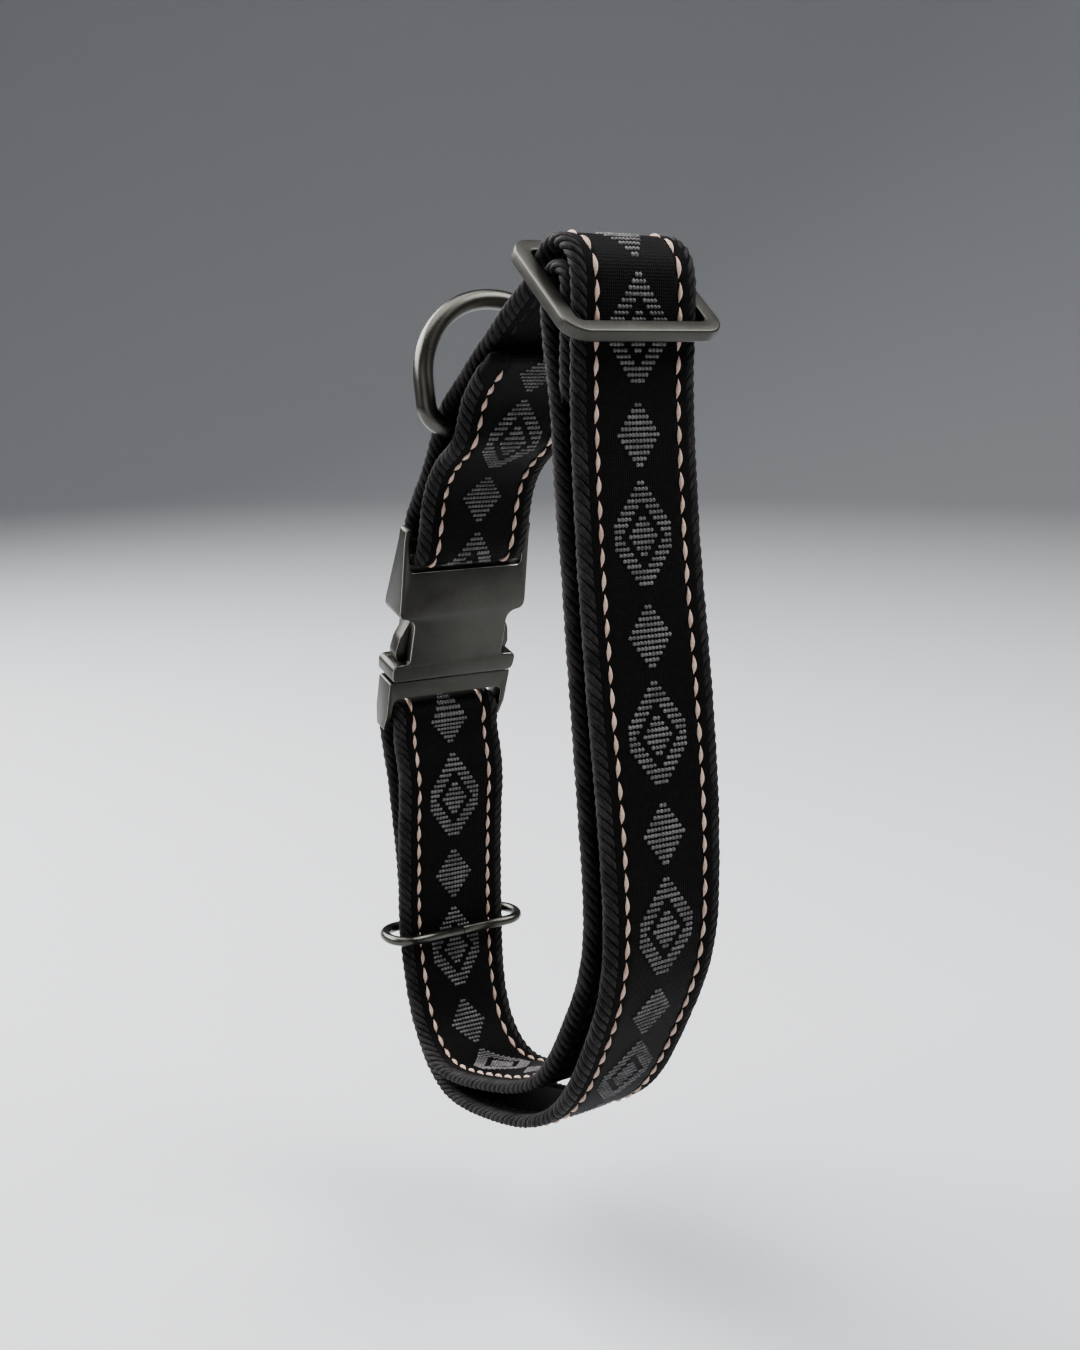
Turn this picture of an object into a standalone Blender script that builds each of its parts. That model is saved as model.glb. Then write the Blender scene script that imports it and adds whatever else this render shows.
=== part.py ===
"""Adjustable dog collar with a side-release buckle, hanging upright by the top of its loop.

One length of webbing makes the whole band. It starts sewn round the middle bar of a slider, goes
down the front, under the bottom and up the back to the buckle's insert, turns round the insert's
bar, comes back as the outer layer, weaves through the slider, and ends folded round the bar of the
buckle's socket, with the leash ring held in that last fold.

Frame: metres, +Z up. Y is across the webbing, X runs from the buckle's side to the slider's side,
and the origin is the inside top of the loop, where a peg would hold it.
"""
import math

import bmesh
import bpy
import numpy as np
from mathutils import Matrix, Vector

# Sizes of the webbing
WEB_WIDTH = 0.025
WEB_THICK = 0.0028
WEB_EDGE = 0.0009
SEAM_GAP = 0.0003
SEWN_TAIL = 0.020

# Sizes of the loop
LOOP_DEPTH = 0.067
LOOP_DROP = 0.1576
LAYER_SPREAD = 0.0042
LAYER_SWAY = 0.0014
PEG_TO_SLIDER_X = 0.0068
PEG_TO_SLIDER_Z = 0.0063
FOLD_SPAN = 0.0215
FOLD_SLACK = 0.0001
FOLD_EASE = 0.0010

# Sizes of the slider
SLIDER_TILT = math.radians(37.5)
SLIDER_WIDE = 0.0030
SLIDER_THICK = 0.0024
SLIDER_MIDDLE = 0.0020
SLIDER_MIDDLE_THICK = 0.0022
SLIDER_EDGE = 0.0004
SLIDER_CORNER = 0.0042
HUMP_SLACK = 0.0012

# Sizes of the buckle
BUCKLE_TILT = math.radians(17.0)
BUCKLE_DEPTH_SHARE = -0.7672
BUCKLE_DROP_SHARE = -0.2925
BAR_THICK = 0.0028
BAR_INSET = 0.0026
SOCKET_LENGTH = 0.0332
SOCKET_RAIL = 0.0018
SOCKET_THICK = 0.0070
SOCKET_EDGE = 0.0011
SLOT_PLAY = 0.0005
SCOOP_TOP = 0.0172
SCOOP_LENGTH = 0.0107
SCOOP_DEPTH = 0.0038
LIP_WALL = 0.0039
POCKET_THICK = 0.0034
POCKET_TOP = 0.0125
MOUTH_GAP = 0.0005
INSERT_RAIL = 0.0015
INSERT_THICK = 0.0052
INSERT_NECK = 0.0042
INSERT_SLOT = 0.0063
INSERT_EDGE = 0.0010
TONGUE_HALF = 0.0023
TONGUE_LENGTH = 0.0125
ARM_WIDE = 0.0024
ARM_LENGTH = 0.0150
ARM_HOOK = 0.0013
ARM_BUTTON = 0.0029
ARM_EYE = 0.0014
ARM_SWING_ROOM = 0.0008
PIN_RADIUS = 0.0006
PIN_INSET = 0.0014

# Sizes of the leash ring and the keeper
RING_WIRE = 0.0038
RING_PLAY = 0.0016
RING_SEAT_GAP = 0.0004
RING_DEPTH = 0.0240
RING_CORNER = 0.0042
RING_LEAN = math.radians(102.0)
KEEPER_WIRE = 0.0021
KEEPER_PLAY = 0.0021
KEEPER_SHARE = 0.846

# Running clearances
TOUCH_GAP = 0.0003
SLIDE_GAP = 0.0004

# The neck side of the loop, from the slider down the front, along the bottom and up the back.
# reach: share of LOOP_DEPTH from the slider's middle bar. drop: share of LOOP_DROP below it.
# spread: share of LAYER_SPREAD between the layers. sway: share of LAYER_SWAY. twist: degrees.
NECK_LINE = (
    {"reach": -0.024, "drop": 0.122, "spread": 0.86, "sway": 0.0, "twist": 0.0},
    {"reach": 0.000, "drop": 0.202, "spread": 0.72, "sway": 0.0, "twist": 1.0},
    {"reach": 0.033, "drop": 0.287, "spread": 0.56, "sway": 0.0, "twist": 2.0},
    {"reach": 0.064, "drop": 0.376, "spread": 0.58, "sway": 0.0, "twist": 3.5},
    {"reach": 0.092, "drop": 0.459, "spread": 0.62, "sway": 0.0, "twist": 4.0},
    {"reach": 0.116, "drop": 0.548, "spread": 0.74, "sway": 0.0, "twist": 2.5},
    {"reach": 0.134, "drop": 0.630, "spread": 0.76, "sway": 0.0, "twist": 0.0},
    {"reach": 0.135, "drop": 0.696, "spread": 0.80, "sway": 0.0, "twist": -2.0},
    {"reach": 0.104, "drop": 0.751, "spread": 0.88, "sway": 0.0, "twist": -4.0},
    {"reach": 0.048, "drop": 0.800, "spread": 0.96, "sway": 0.0, "twist": -5.0},
    {"reach": -0.020, "drop": 0.853, "spread": 1.00, "sway": 0.0, "twist": -5.0},
    {"reach": -0.109, "drop": 0.905, "spread": 0.96, "sway": 0.0, "twist": -3.0},
    {"reach": -0.235, "drop": 0.942, "spread": 0.90, "sway": 0.1, "twist": 0.0},
    {"reach": -0.405, "drop": 0.974, "spread": 0.78, "sway": 0.3, "twist": 4.0},
    {"reach": -0.565, "drop": 0.997, "spread": 0.62, "sway": 0.5, "twist": 7.0},
    {"reach": -0.675, "drop": 1.000, "spread": 0.50, "sway": 0.8, "twist": 8.0},
    {"reach": -0.757, "drop": 0.980, "spread": 0.38, "sway": 1.0, "twist": 8.0},
    {"reach": -0.809, "drop": 0.944, "spread": 0.26, "sway": 1.0, "twist": 6.0},
    {"reach": -0.839, "drop": 0.893, "spread": 0.16, "sway": 1.0, "twist": 3.0},
    {"reach": -0.854, "drop": 0.846, "spread": 0.10, "sway": 1.0, "twist": 0.0},
    {"reach": -0.857, "drop": 0.763, "spread": 0.32, "sway": 0.9, "twist": 0.0},
    {"reach": -0.854, "drop": 0.680, "spread": 0.68, "sway": 0.6, "twist": 0.0},
    {"reach": -0.858, "drop": 0.615, "spread": 0.90, "sway": 0.2, "twist": 0.0},
)

# The stretch from the slider's far bar down to the socket's bar.
# along: share of that stretch. bow: share of it that the webbing stands out from the straight line.
UPPER_LINE = (
    {"along": 0.072, "bow": 0.009},
    {"along": 0.145, "bow": 0.026},
    {"along": 0.241, "bow": 0.045},
    {"along": 0.357, "bow": 0.064},
    {"along": 0.473, "bow": 0.080},
    {"along": 0.589, "bow": 0.093},
    {"along": 0.696, "bow": 0.066},
    {"along": 0.822, "bow": 0.043},
)
RING_SEAT_SHARE = 0.589

# How finely the webbing's strip is cut
LONGEST_FACET = 0.006
MOST_FACET_TURN = math.radians(14.0)


def direction(angle):
    """Unit vector in the X-Z plane, from +X towards +Z."""
    return np.array((math.cos(angle), math.sin(angle)))


def corner_reach(width, thickness, rounding):
    """How far a bar's rounded corner stands from its middle line."""
    return math.hypot(width, thickness) / 2 - rounding * (math.sqrt(2) - 1)


# Places worked out from the sizes
HALF_WEB = WEB_THICK / 2
INNER_TURN = corner_reach(SLIDER_MIDDLE, SLIDER_MIDDLE_THICK, SLIDER_EDGE) + SEAM_GAP + HALF_WEB
OUTER_TURN = INNER_TURN + WEB_THICK + SEAM_GAP
MIDDLE_BAR = np.array((PEG_TO_SLIDER_X, PEG_TO_SLIDER_Z))
STRAND_X = MIDDLE_BAR[0] + OUTER_TURN
SLIDER_UP = np.array((-math.cos(SLIDER_TILT), math.sin(SLIDER_TILT)))
SLIDER_REACH = corner_reach(SLIDER_WIDE, SLIDER_THICK, SLIDER_EDGE) + SEAM_GAP + HALF_WEB
NEAR_BAR = (OUTER_TURN + SLIDER_REACH) / math.cos(SLIDER_TILT)
FAR_BAR = OUTER_TURN + SLIDER_REACH + SEAM_GAP
BUCKLE_DOWN = np.array((-math.sin(BUCKLE_TILT), -math.cos(BUCKLE_TILT)))
BUCKLE_NECK = np.array((math.cos(BUCKLE_TILT), -math.sin(BUCKLE_TILT)))
SOCKET_TOP = MIDDLE_BAR + np.array((BUCKLE_DEPTH_SHARE * LOOP_DEPTH, BUCKLE_DROP_SHARE * LOOP_DROP))
SOCKET_BAR = SOCKET_TOP + BAR_INSET * BUCKLE_DOWN
SLOT_HALF = WEB_WIDTH / 2 + SLIDE_GAP
SOCKET_HALF = SLOT_HALF + SOCKET_RAIL
INSERT_HALF = SLOT_HALF + INSERT_RAIL
RING_HALF = WEB_WIDTH / 2 + RING_PLAY + RING_WIRE / 2
MOUTH = SOCKET_LENGTH - BAR_THICK / 2
BUCKLE_REACH = MOUTH + TOUCH_GAP + INSERT_NECK + INSERT_SLOT
INSERT_BAR = SOCKET_TOP + BUCKLE_REACH * BUCKLE_DOWN
BAR_TURN = BAR_THICK / 2 + SEAM_GAP + HALF_WEB
SLOT_LOW = BAR_INSET + BAR_TURN + HALF_WEB + SLOT_PLAY
RING_OFFSET = RING_WIRE / 2 + RING_SEAT_GAP + HALF_WEB


def clear_scene():
    """Remove what the scene holds, and give back the collections for parts and cutters."""
    for item in list(bpy.data.objects):
        bpy.data.objects.remove(item, do_unlink=True)
    made = []
    for name in ("dog_collar", "cutters"):
        group = bpy.data.collections.new(name)
        bpy.context.scene.collection.children.link(group)
        made.append(group)
    return made


PARTS, CUTTERS = clear_scene()


def finish(name, colour, metallic, roughness):
    """A plain material of its own for one sub-part."""
    material = bpy.data.materials.new(name)
    material.use_nodes = True
    shader = material.node_tree.nodes["Principled BSDF"]
    shader.inputs["Base Color"].default_value = (*colour, 1.0)
    shader.inputs["Metallic"].default_value = metallic
    shader.inputs["Roughness"].default_value = roughness
    return material


def webbing_finish(name):
    return finish(name, (0.012, 0.012, 0.014), 0.0, 0.8)


def metal_finish(name):
    return finish(name, (0.16, 0.16, 0.15), 1.0, 0.45)


def add_object(name, data, group=PARTS, parent=None):
    item = bpy.data.objects.new(name, data)
    group.objects.link(item)
    item.parent = parent
    if group is CUTTERS:
        item.hide_render = True
        item.display_type = "WIRE"
    return item


def spline_through(rows, points_per_row=8):
    """Natural cubic spline through rows of numbers, by the distance along the first two columns."""
    rows = np.asarray(rows, dtype=float)
    steps = np.hypot(*np.diff(rows[:, :2], axis=0).T)
    place = np.concatenate(([0.0], np.cumsum(steps)))
    count = len(rows)
    system = np.eye(count)
    right = np.zeros_like(rows)
    for i in range(1, count - 1):
        system[i, i - 1] = steps[i - 1]
        system[i, i] = 2 * (steps[i - 1] + steps[i])
        system[i, i + 1] = steps[i]
        right[i] = 6 * ((rows[i + 1] - rows[i]) / steps[i] - (rows[i] - rows[i - 1]) / steps[i - 1])
    bend = np.linalg.solve(system, right)
    made = []
    for i in range(count - 1):
        for t in np.linspace(0, 1, points_per_row, endpoint=False):
            a, b, h = 1 - t, t, steps[i]
            made.append(a * rows[i] + b * rows[i + 1]
                        + ((a ** 3 - a) * bend[i] + (b ** 3 - b) * bend[i + 1]) * h * h / 6)
    made.append(rows[-1])
    return np.array(made), place[-1]


def sample_by_bend(rows, longest, most_turn):
    """Keep the points of a fine path that a strip needs: one for each short stretch or turn."""
    kept = [rows[0]]
    run = turn = 0.0
    for before, here, after in zip(rows, rows[1:], rows[2:]):
        first, second = here[:2] - before[:2], after[:2] - here[:2]
        run += np.hypot(*first)
        cross = first[0] * second[1] - first[1] * second[0]
        turn += abs(math.atan2(cross, float(first @ second)))
        if run >= longest or turn >= most_turn:
            kept.append(here)
            run = turn = 0.0
    kept.append(rows[-1])
    return np.array(kept)


def turn_round(centre, radius, start, end, count, sway=0.0):
    """Rows of a turn round a bar: x, z, sideways place and twist."""
    return [(*(centre + radius * direction(a)), sway, 0.0) for a in np.linspace(start, end, count)]


def loop_layer(offset_of):
    """The neck line set outwards, one row for each row of the table, read downwards."""
    fine = []
    for row in NECK_LINE:
        x = MIDDLE_BAR[0] + row["reach"] * LOOP_DEPTH
        z = MIDDLE_BAR[1] - row["drop"] * LOOP_DROP
        fine.append((x, z))
    fine = np.array(fine)
    along = np.gradient(fine, axis=0)
    along /= np.linalg.norm(along, axis=1)[:, None]
    out = np.stack((-along[:, 1], along[:, 0]), axis=1)
    layer = []
    for point, normal, row in zip(fine, out, NECK_LINE):
        offset, sway = offset_of(row)
        layer.append((*(point + offset * normal), sway, row["twist"]))
    return layer


def inner_offset(row):
    return HALF_WEB, -row["sway"] * LAYER_SWAY * 0.4


def outer_offset(row):
    gap = max(row["spread"] * LAYER_SPREAD, SEAM_GAP)
    return HALF_WEB + WEB_THICK + gap, row["sway"] * LAYER_SWAY


def upper_layer():
    """The single stretch from under the far bar to the socket's bar, and its outward normals."""
    leave = direction(SLIDER_TILT - math.radians(88.0))
    top = MIDDLE_BAR + FAR_BAR * SLIDER_UP + SLIDER_REACH * leave
    bottom = SOCKET_BAR - BAR_TURN * BUCKLE_NECK
    span = bottom - top
    out = np.array((span[1], -span[0])) / np.hypot(*span)
    reach = np.hypot(*span)
    centre = [top]
    for row in UPPER_LINE:
        centre.append(top + row["along"] * span + row["bow"] * reach * out)
    centre.append(bottom)
    centre = np.array(centre)
    along = np.gradient(centre, axis=0)
    along /= np.linalg.norm(along, axis=1)[:, None]
    normals = np.stack((along[:, 1], -along[:, 0]), axis=1)
    return centre, normals


UPPER_CENTRE, UPPER_OUT = upper_layer()
SEAT_ROW = 1 + [row["along"] for row in UPPER_LINE].index(RING_SEAT_SHARE)
RING_BAR = UPPER_CENTRE[SEAT_ROW] - RING_OFFSET * UPPER_OUT[SEAT_ROW]


def folded_layer():
    """The end of the webbing, back up on the neck side over the leash ring's bar."""
    rows = []
    past_ring = 0.0
    for i in range(len(UPPER_CENTRE) - 2, 0, -1):
        offset = WEB_THICK + SEAM_GAP + FOLD_SLACK
        if abs(i - SEAT_ROW) == 1:
            offset += FOLD_EASE
        if i == SEAT_ROW:
            offset = 2 * RING_OFFSET
        here = UPPER_CENTRE[i] - offset * UPPER_OUT[i]
        if i < SEAT_ROW:
            step = np.hypot(*(here - rows[-1]))
            if past_ring + step >= FOLD_SPAN:
                rows.append(rows[-1] + (here - rows[-1]) * (FOLD_SPAN - past_ring) / step)
                break
            past_ring += step
        rows.append(here)
    return [(x, z, 0.0, 0.0) for x, z in rows]


def webbing_path():
    """The middle line of the whole webbing, from its sewn tail to its folded end."""
    inner = loop_layer(inner_offset)
    outer = loop_layer(outer_offset)
    first = np.array(inner[0][:2])
    tail_side = np.array((WEB_THICK + SEAM_GAP, 0.0))
    tail_low = (*(first + tail_side), 0.0, 0.0)
    up = (MIDDLE_BAR[0] + INNER_TURN, MIDDLE_BAR[1] - SEWN_TAIL * 0.25, 0.0, 0.0)
    rows = [tail_low, up]
    rows += turn_round(MIDDLE_BAR, INNER_TURN, 0.0, math.pi, 9)
    rows += inner
    neck_angle = -BUCKLE_TILT
    rows += turn_round(INSERT_BAR, BAR_TURN, neck_angle, neck_angle + math.pi, 9)
    rows += [(x, z, sway, -twist) for x, z, sway, twist in outer[::-1]]
    bar_z = MIDDLE_BAR[1] - NEAR_BAR * SLIDER_UP[1]
    rows.append((STRAND_X, bar_z, 0.0, 0.0))
    for degrees in (0, 30, 60, 90, 115):
        slack = HUMP_SLACK * math.sin(math.radians(degrees)) ** 2
        place = MIDDLE_BAR + (OUTER_TURN + slack) * direction(math.radians(degrees))
        rows.append((*place, 0.0, 0.0))
    rows += [(x, z, 0.0, 0.0) for x, z in UPPER_CENTRE[:-1]]
    outside = math.pi - BUCKLE_TILT
    rows += turn_round(SOCKET_BAR, BAR_TURN, outside, outside + math.pi, 9)
    rows += folded_layer()
    fine, length = spline_through(rows)
    return sample_by_bend(fine, LONGEST_FACET, MOST_FACET_TURN), length


def make_strap():
    """A flat ribbon along the path, thickened, with its edges rounded."""
    path, length = webbing_path()
    along = np.gradient(path[:, :2], axis=0)
    along /= np.linalg.norm(along, axis=1)[:, None]
    mesh = bpy.data.meshes.new("strap")
    builder = bmesh.new()
    edge_pairs = []
    for (x, z, sway, twist), (ax, az) in zip(path, along):
        lean = math.radians(twist)
        across = Vector((-az * math.sin(lean), math.cos(lean), ax * math.sin(lean)))
        middle = Vector((x, sway, z))
        near = builder.verts.new(middle - across * (WEB_WIDTH / 2))
        far = builder.verts.new(middle + across * (WEB_WIDTH / 2))
        edge_pairs.append((near, far))
    for (a, b), (c, d) in zip(edge_pairs, edge_pairs[1:]):
        builder.faces.new((a, b, d, c))
    builder.to_mesh(mesh)
    builder.free()
    mesh.materials.append(webbing_finish("strap_webbing"))
    strap = add_object("strap", mesh)
    wall = strap.modifiers.new("thickness", "SOLIDIFY")
    wall.thickness = WEB_THICK
    wall.offset = 0.0
    edge = strap.modifiers.new("soft_edges", "BEVEL")
    edge.width = WEB_EDGE
    edge.segments = 2
    edge.limit_method = "ANGLE"
    edge.angle_limit = math.radians(50.0)
    return length


def rounded_outline(corners, steps=5):
    """Points of a closed outline whose corners (x, y, radius) are rounded with arcs."""
    points = []
    count = len(corners)
    for i, (x, y, radius) in enumerate(corners):
        here = Vector((x, y))
        before = Vector(corners[i - 1][:2]) - here
        after = Vector(corners[(i + 1) % count][:2]) - here
        half = before.angle(after) / 2
        if radius <= 0 or half > math.radians(89.0):
            points.append(here)
            continue
        inward = (before.normalized() + after.normalized()).normalized()
        middle = here + inward * (radius / math.sin(half))
        start = here + before.normalized() * (radius / math.tan(half)) - middle
        end = here + after.normalized() * (radius / math.tan(half)) - middle
        swing = start.angle_signed(end)
        for step in range(steps + 1):
            points.append(middle + Matrix.Rotation(-swing * step / steps, 2) @ start)
    return points


def soften(item, width):
    """Round the sharp edges of an object."""
    rim = item.modifiers.new("rim", "BEVEL")
    rim.width = width
    rim.segments = 2
    rim.limit_method = "ANGLE"
    rim.angle_limit = math.radians(40.0)
    return item


def flat_plate(name, outlines, thickness, group=PARTS, parent=None):
    """A flat outline, with holes, given its thickness as a 2D curve."""
    curve = bpy.data.curves.new(name, "CURVE")
    curve.dimensions = "2D"
    curve.fill_mode = "BOTH"
    curve.extrude = thickness / 2
    for outline in outlines:
        spline = curve.splines.new("POLY")
        spline.points.add(len(outline) - 1)
        for point, place in zip(spline.points, outline):
            point.co = (place[0], place[1], 0.0, 1.0)
        spline.use_cyclic_u = True
    item = add_object(name, curve, group, parent)
    weld = item.modifiers.new("joined_caps", "WELD")
    weld.merge_threshold = 0.00001
    return item


def as_mesh(item, material=None):
    """The same object with its evaluated shape as a mesh, ready to be cut."""
    bpy.context.view_layer.update()
    shape = item.evaluated_get(bpy.context.evaluated_depsgraph_get())
    mesh = bpy.data.meshes.new_from_object(shape)
    builder = bmesh.new()
    builder.from_mesh(mesh)
    bmesh.ops.remove_doubles(builder, verts=builder.verts, dist=0.000002)
    bmesh.ops.recalc_face_normals(builder, faces=builder.faces)
    builder.to_mesh(mesh)
    builder.free()
    group = item.users_collection[0]
    name, parent, place = item.name, item.parent, item.matrix_world.copy()
    bpy.data.objects.remove(item, do_unlink=True)
    made = add_object(name, mesh, group)
    made.matrix_world = place
    if parent:
        made.parent = parent
        made.matrix_parent_inverse = parent.matrix_world.inverted()
        made.matrix_world = place
    if material:
        mesh.materials.clear()
        mesh.materials.append(material)
    mesh.shade_smooth()
    mesh.set_sharp_from_angle(angle=math.radians(35.0))
    return made


def combine(item, tool, how="DIFFERENCE"):
    """A Boolean of one object with another."""
    step = item.modifiers.new(tool.name, "BOOLEAN")
    step.operation = how
    step.object = tool
    return step


def round_bar(name, radius, length, along, place, sides=16, group=CUTTERS, parent=None):
    """A capped cylinder along one of its parent's axes, centred on a place."""
    mesh = bpy.data.meshes.new(name)
    builder = bmesh.new()
    bmesh.ops.create_cone(builder, cap_ends=True, segments=sides,
                          radius1=radius, radius2=radius, depth=length)
    turn = Vector((0.0, 0.0, 1.0)).rotation_difference(Vector(along)).to_matrix().to_4x4()
    bmesh.ops.transform(builder, matrix=Matrix.Translation(place) @ turn, verts=builder.verts)
    builder.to_mesh(mesh)
    builder.free()
    return add_object(name, mesh, group, parent)


def swept(name, path, section, closed, group=PARTS):
    """A flat section carried along a path in the object's own X-Y plane."""
    count = len(path)
    mesh = bpy.data.meshes.new(name)
    builder = bmesh.new()
    stations = []
    for i, place in enumerate(path):
        before = path[i - 1] if closed or i else place
        after = path[(i + 1) % count] if closed or i < count - 1 else place
        along = (after - before).normalized()
        side = Vector((along.y, -along.x))
        stations.append([builder.verts.new((place.x + side.x * u, place.y + side.y * u, v))
                         for u, v in section])
    size = len(section)
    for i in range(count if closed else count - 1):
        here, there = stations[i], stations[(i + 1) % count]
        for k in range(size):
            n = (k + 1) % size
            builder.faces.new((here[k], here[n], there[n], there[k]))
    if not closed:
        builder.faces.new(stations[0])
        builder.faces.new(stations[-1])
    bmesh.ops.recalc_face_normals(builder, faces=builder.faces)
    builder.to_mesh(mesh)
    builder.free()
    return add_object(name, mesh, group)


def bar_section(width, thickness):
    """The slider's bar cut across: a rectangle with rounded corners."""
    half, deep = width / 2, thickness / 2
    return [tuple(p) for p in rounded_outline([(-half, -deep, SLIDER_EDGE), (half, -deep, SLIDER_EDGE),
                                               (half, deep, SLIDER_EDGE), (-half, deep, SLIDER_EDGE)], 2)]


def make_slider():
    """A flat ring with a middle bar; its plane lies on the slope that the webbing gives it."""
    half = SLOT_HALF + SLIDER_WIDE / 2
    bend = SLIDER_CORNER - SLIDER_WIDE / 2
    ring_path = rounded_outline([(-half, -NEAR_BAR, bend), (half, -NEAR_BAR, bend),
                                 (half, FAR_BAR, bend), (-half, FAR_BAR, bend)])
    slider = swept("slider_frame", ring_path, bar_section(SLIDER_WIDE, SLIDER_THICK), True)
    across = Vector((0.0, -1.0, 0.0))
    upward = Vector((SLIDER_UP[0], 0.0, SLIDER_UP[1]))
    frame = Matrix((across, upward, across.cross(upward))).transposed().to_4x4()
    slider.matrix_world = Matrix.Translation((MIDDLE_BAR[0], 0.0, MIDDLE_BAR[1])) @ frame
    bar = swept("middle_bar", [Vector((-half, 0.0)), Vector((half, 0.0))],
                bar_section(SLIDER_MIDDLE, SLIDER_MIDDLE_THICK), False, CUTTERS)
    bar.matrix_world = slider.matrix_world
    slider.data.materials.append(metal_finish("slider_metal"))
    slider.data.shade_smooth()
    slider.data.set_sharp_from_angle(angle=math.radians(35.0))
    combine(slider, bar, "UNION")


def buckle_axis():
    """An empty at the socket's top: X across, Y down the buckle, Z towards the neck."""
    axis = bpy.data.objects.new("buckle_axis", None)
    PARTS.objects.link(axis)
    across = Vector((0.0, -1.0, 0.0))
    down = Vector((BUCKLE_DOWN[0], 0.0, BUCKLE_DOWN[1]))
    frame = Matrix((across, down, across.cross(down))).transposed().to_4x4()
    axis.matrix_world = Matrix.Translation((SOCKET_TOP[0], 0.0, SOCKET_TOP[1])) @ frame
    bpy.context.view_layer.update()
    return axis


def both_sides(half):
    """A closed outline from its right half, given from top to bottom as (x, y, radius)."""
    return [(x, y, r) for x, y, r in half] + [(-x, y, r) for x, y, r in reversed(half)]


LIP_TOP = SCOOP_TOP + SCOOP_LENGTH
WINDOW_TOP = SCOOP_TOP + SOCKET_EDGE
MOUTH_HALF = SOCKET_HALF - LIP_WALL
PIN_Y = MOUTH + TOUCH_GAP + PIN_INSET
PIN_X = MOUTH_HALF - TOUCH_GAP - ARM_WIDE / 2


def side_profile(name, rows, width, axis):
    """A cutter whose outline is the buckle seen from its side, from rows (y down, half thickness)."""
    outline = [(z, y, 0.0) for y, z in rows] + [(-z, y, 0.0) for y, z in reversed(rows)]
    profile = flat_plate(name, [rounded_outline(outline)], width, CUTTERS, axis)
    profile.matrix_local = Matrix(((0, 0, -1, 0), (0, 1, 0, 0), (1, 0, 0, 0), (0, 0, 0, 1)))
    return as_mesh(profile)


def make_socket(axis):
    """The hollow half: a bar and slot for the webbing, a pocket for the arms, scooped sides."""
    waist = SOCKET_HALF - SCOOP_DEPTH
    top = -BAR_THICK / 2
    half = [(SOCKET_HALF - 0.0002, top, 0.0008),
            (SOCKET_HALF, SCOOP_TOP, 0.0016),
            (waist, SCOOP_TOP + 0.0008, 0.0022),
            (waist, LIP_TOP - 0.0002, 0.0008),
            (SOCKET_HALF, LIP_TOP, 0.0013),
            (SOCKET_HALF - 0.0004, MOUTH, 0.0012)]
    half = [(SLOT_HALF, SLOT_LOW, 0.0010), (SLOT_HALF, top, 0.0004)] + half
    body = as_mesh(flat_plate("buckle_socket", [rounded_outline(both_sides(half))],
                              2 * SOCKET_THICK, parent=axis), metal_finish("socket_metal"))
    side = [(top - BAR_THICK, -top), (-top, -top),
            (SCOOP_TOP - 2 * SOCKET_EDGE, SOCKET_THICK / 2), (MOUTH + BAR_THICK, SOCKET_THICK / 2)]
    combine(body, side_profile("socket_side", side, 4 * SOCKET_HALF, axis), "INTERSECT")
    soften(body, SOCKET_EDGE)
    bar_long = SLOT_HALF + SOCKET_HALF
    bar = round_bar("socket_bar", BAR_THICK / 2, bar_long, (1, 0, 0), (0.0, BAR_INSET, 0.0), parent=axis)
    combine(body, bar, "UNION")
    for name, half_width, start, stop in (("pocket_cutter", MOUTH_HALF, POCKET_TOP, MOUTH + BAR_THICK),
                                          ("window_cutter", 2 * SOCKET_HALF, WINDOW_TOP, LIP_TOP)):
        opening = [rounded_outline(both_sides([(half_width, start, 0.0), (half_width, stop, 0.0)]))]
        combine(body, as_mesh(flat_plate(name, opening, POCKET_THICK, CUTTERS, axis)))


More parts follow.
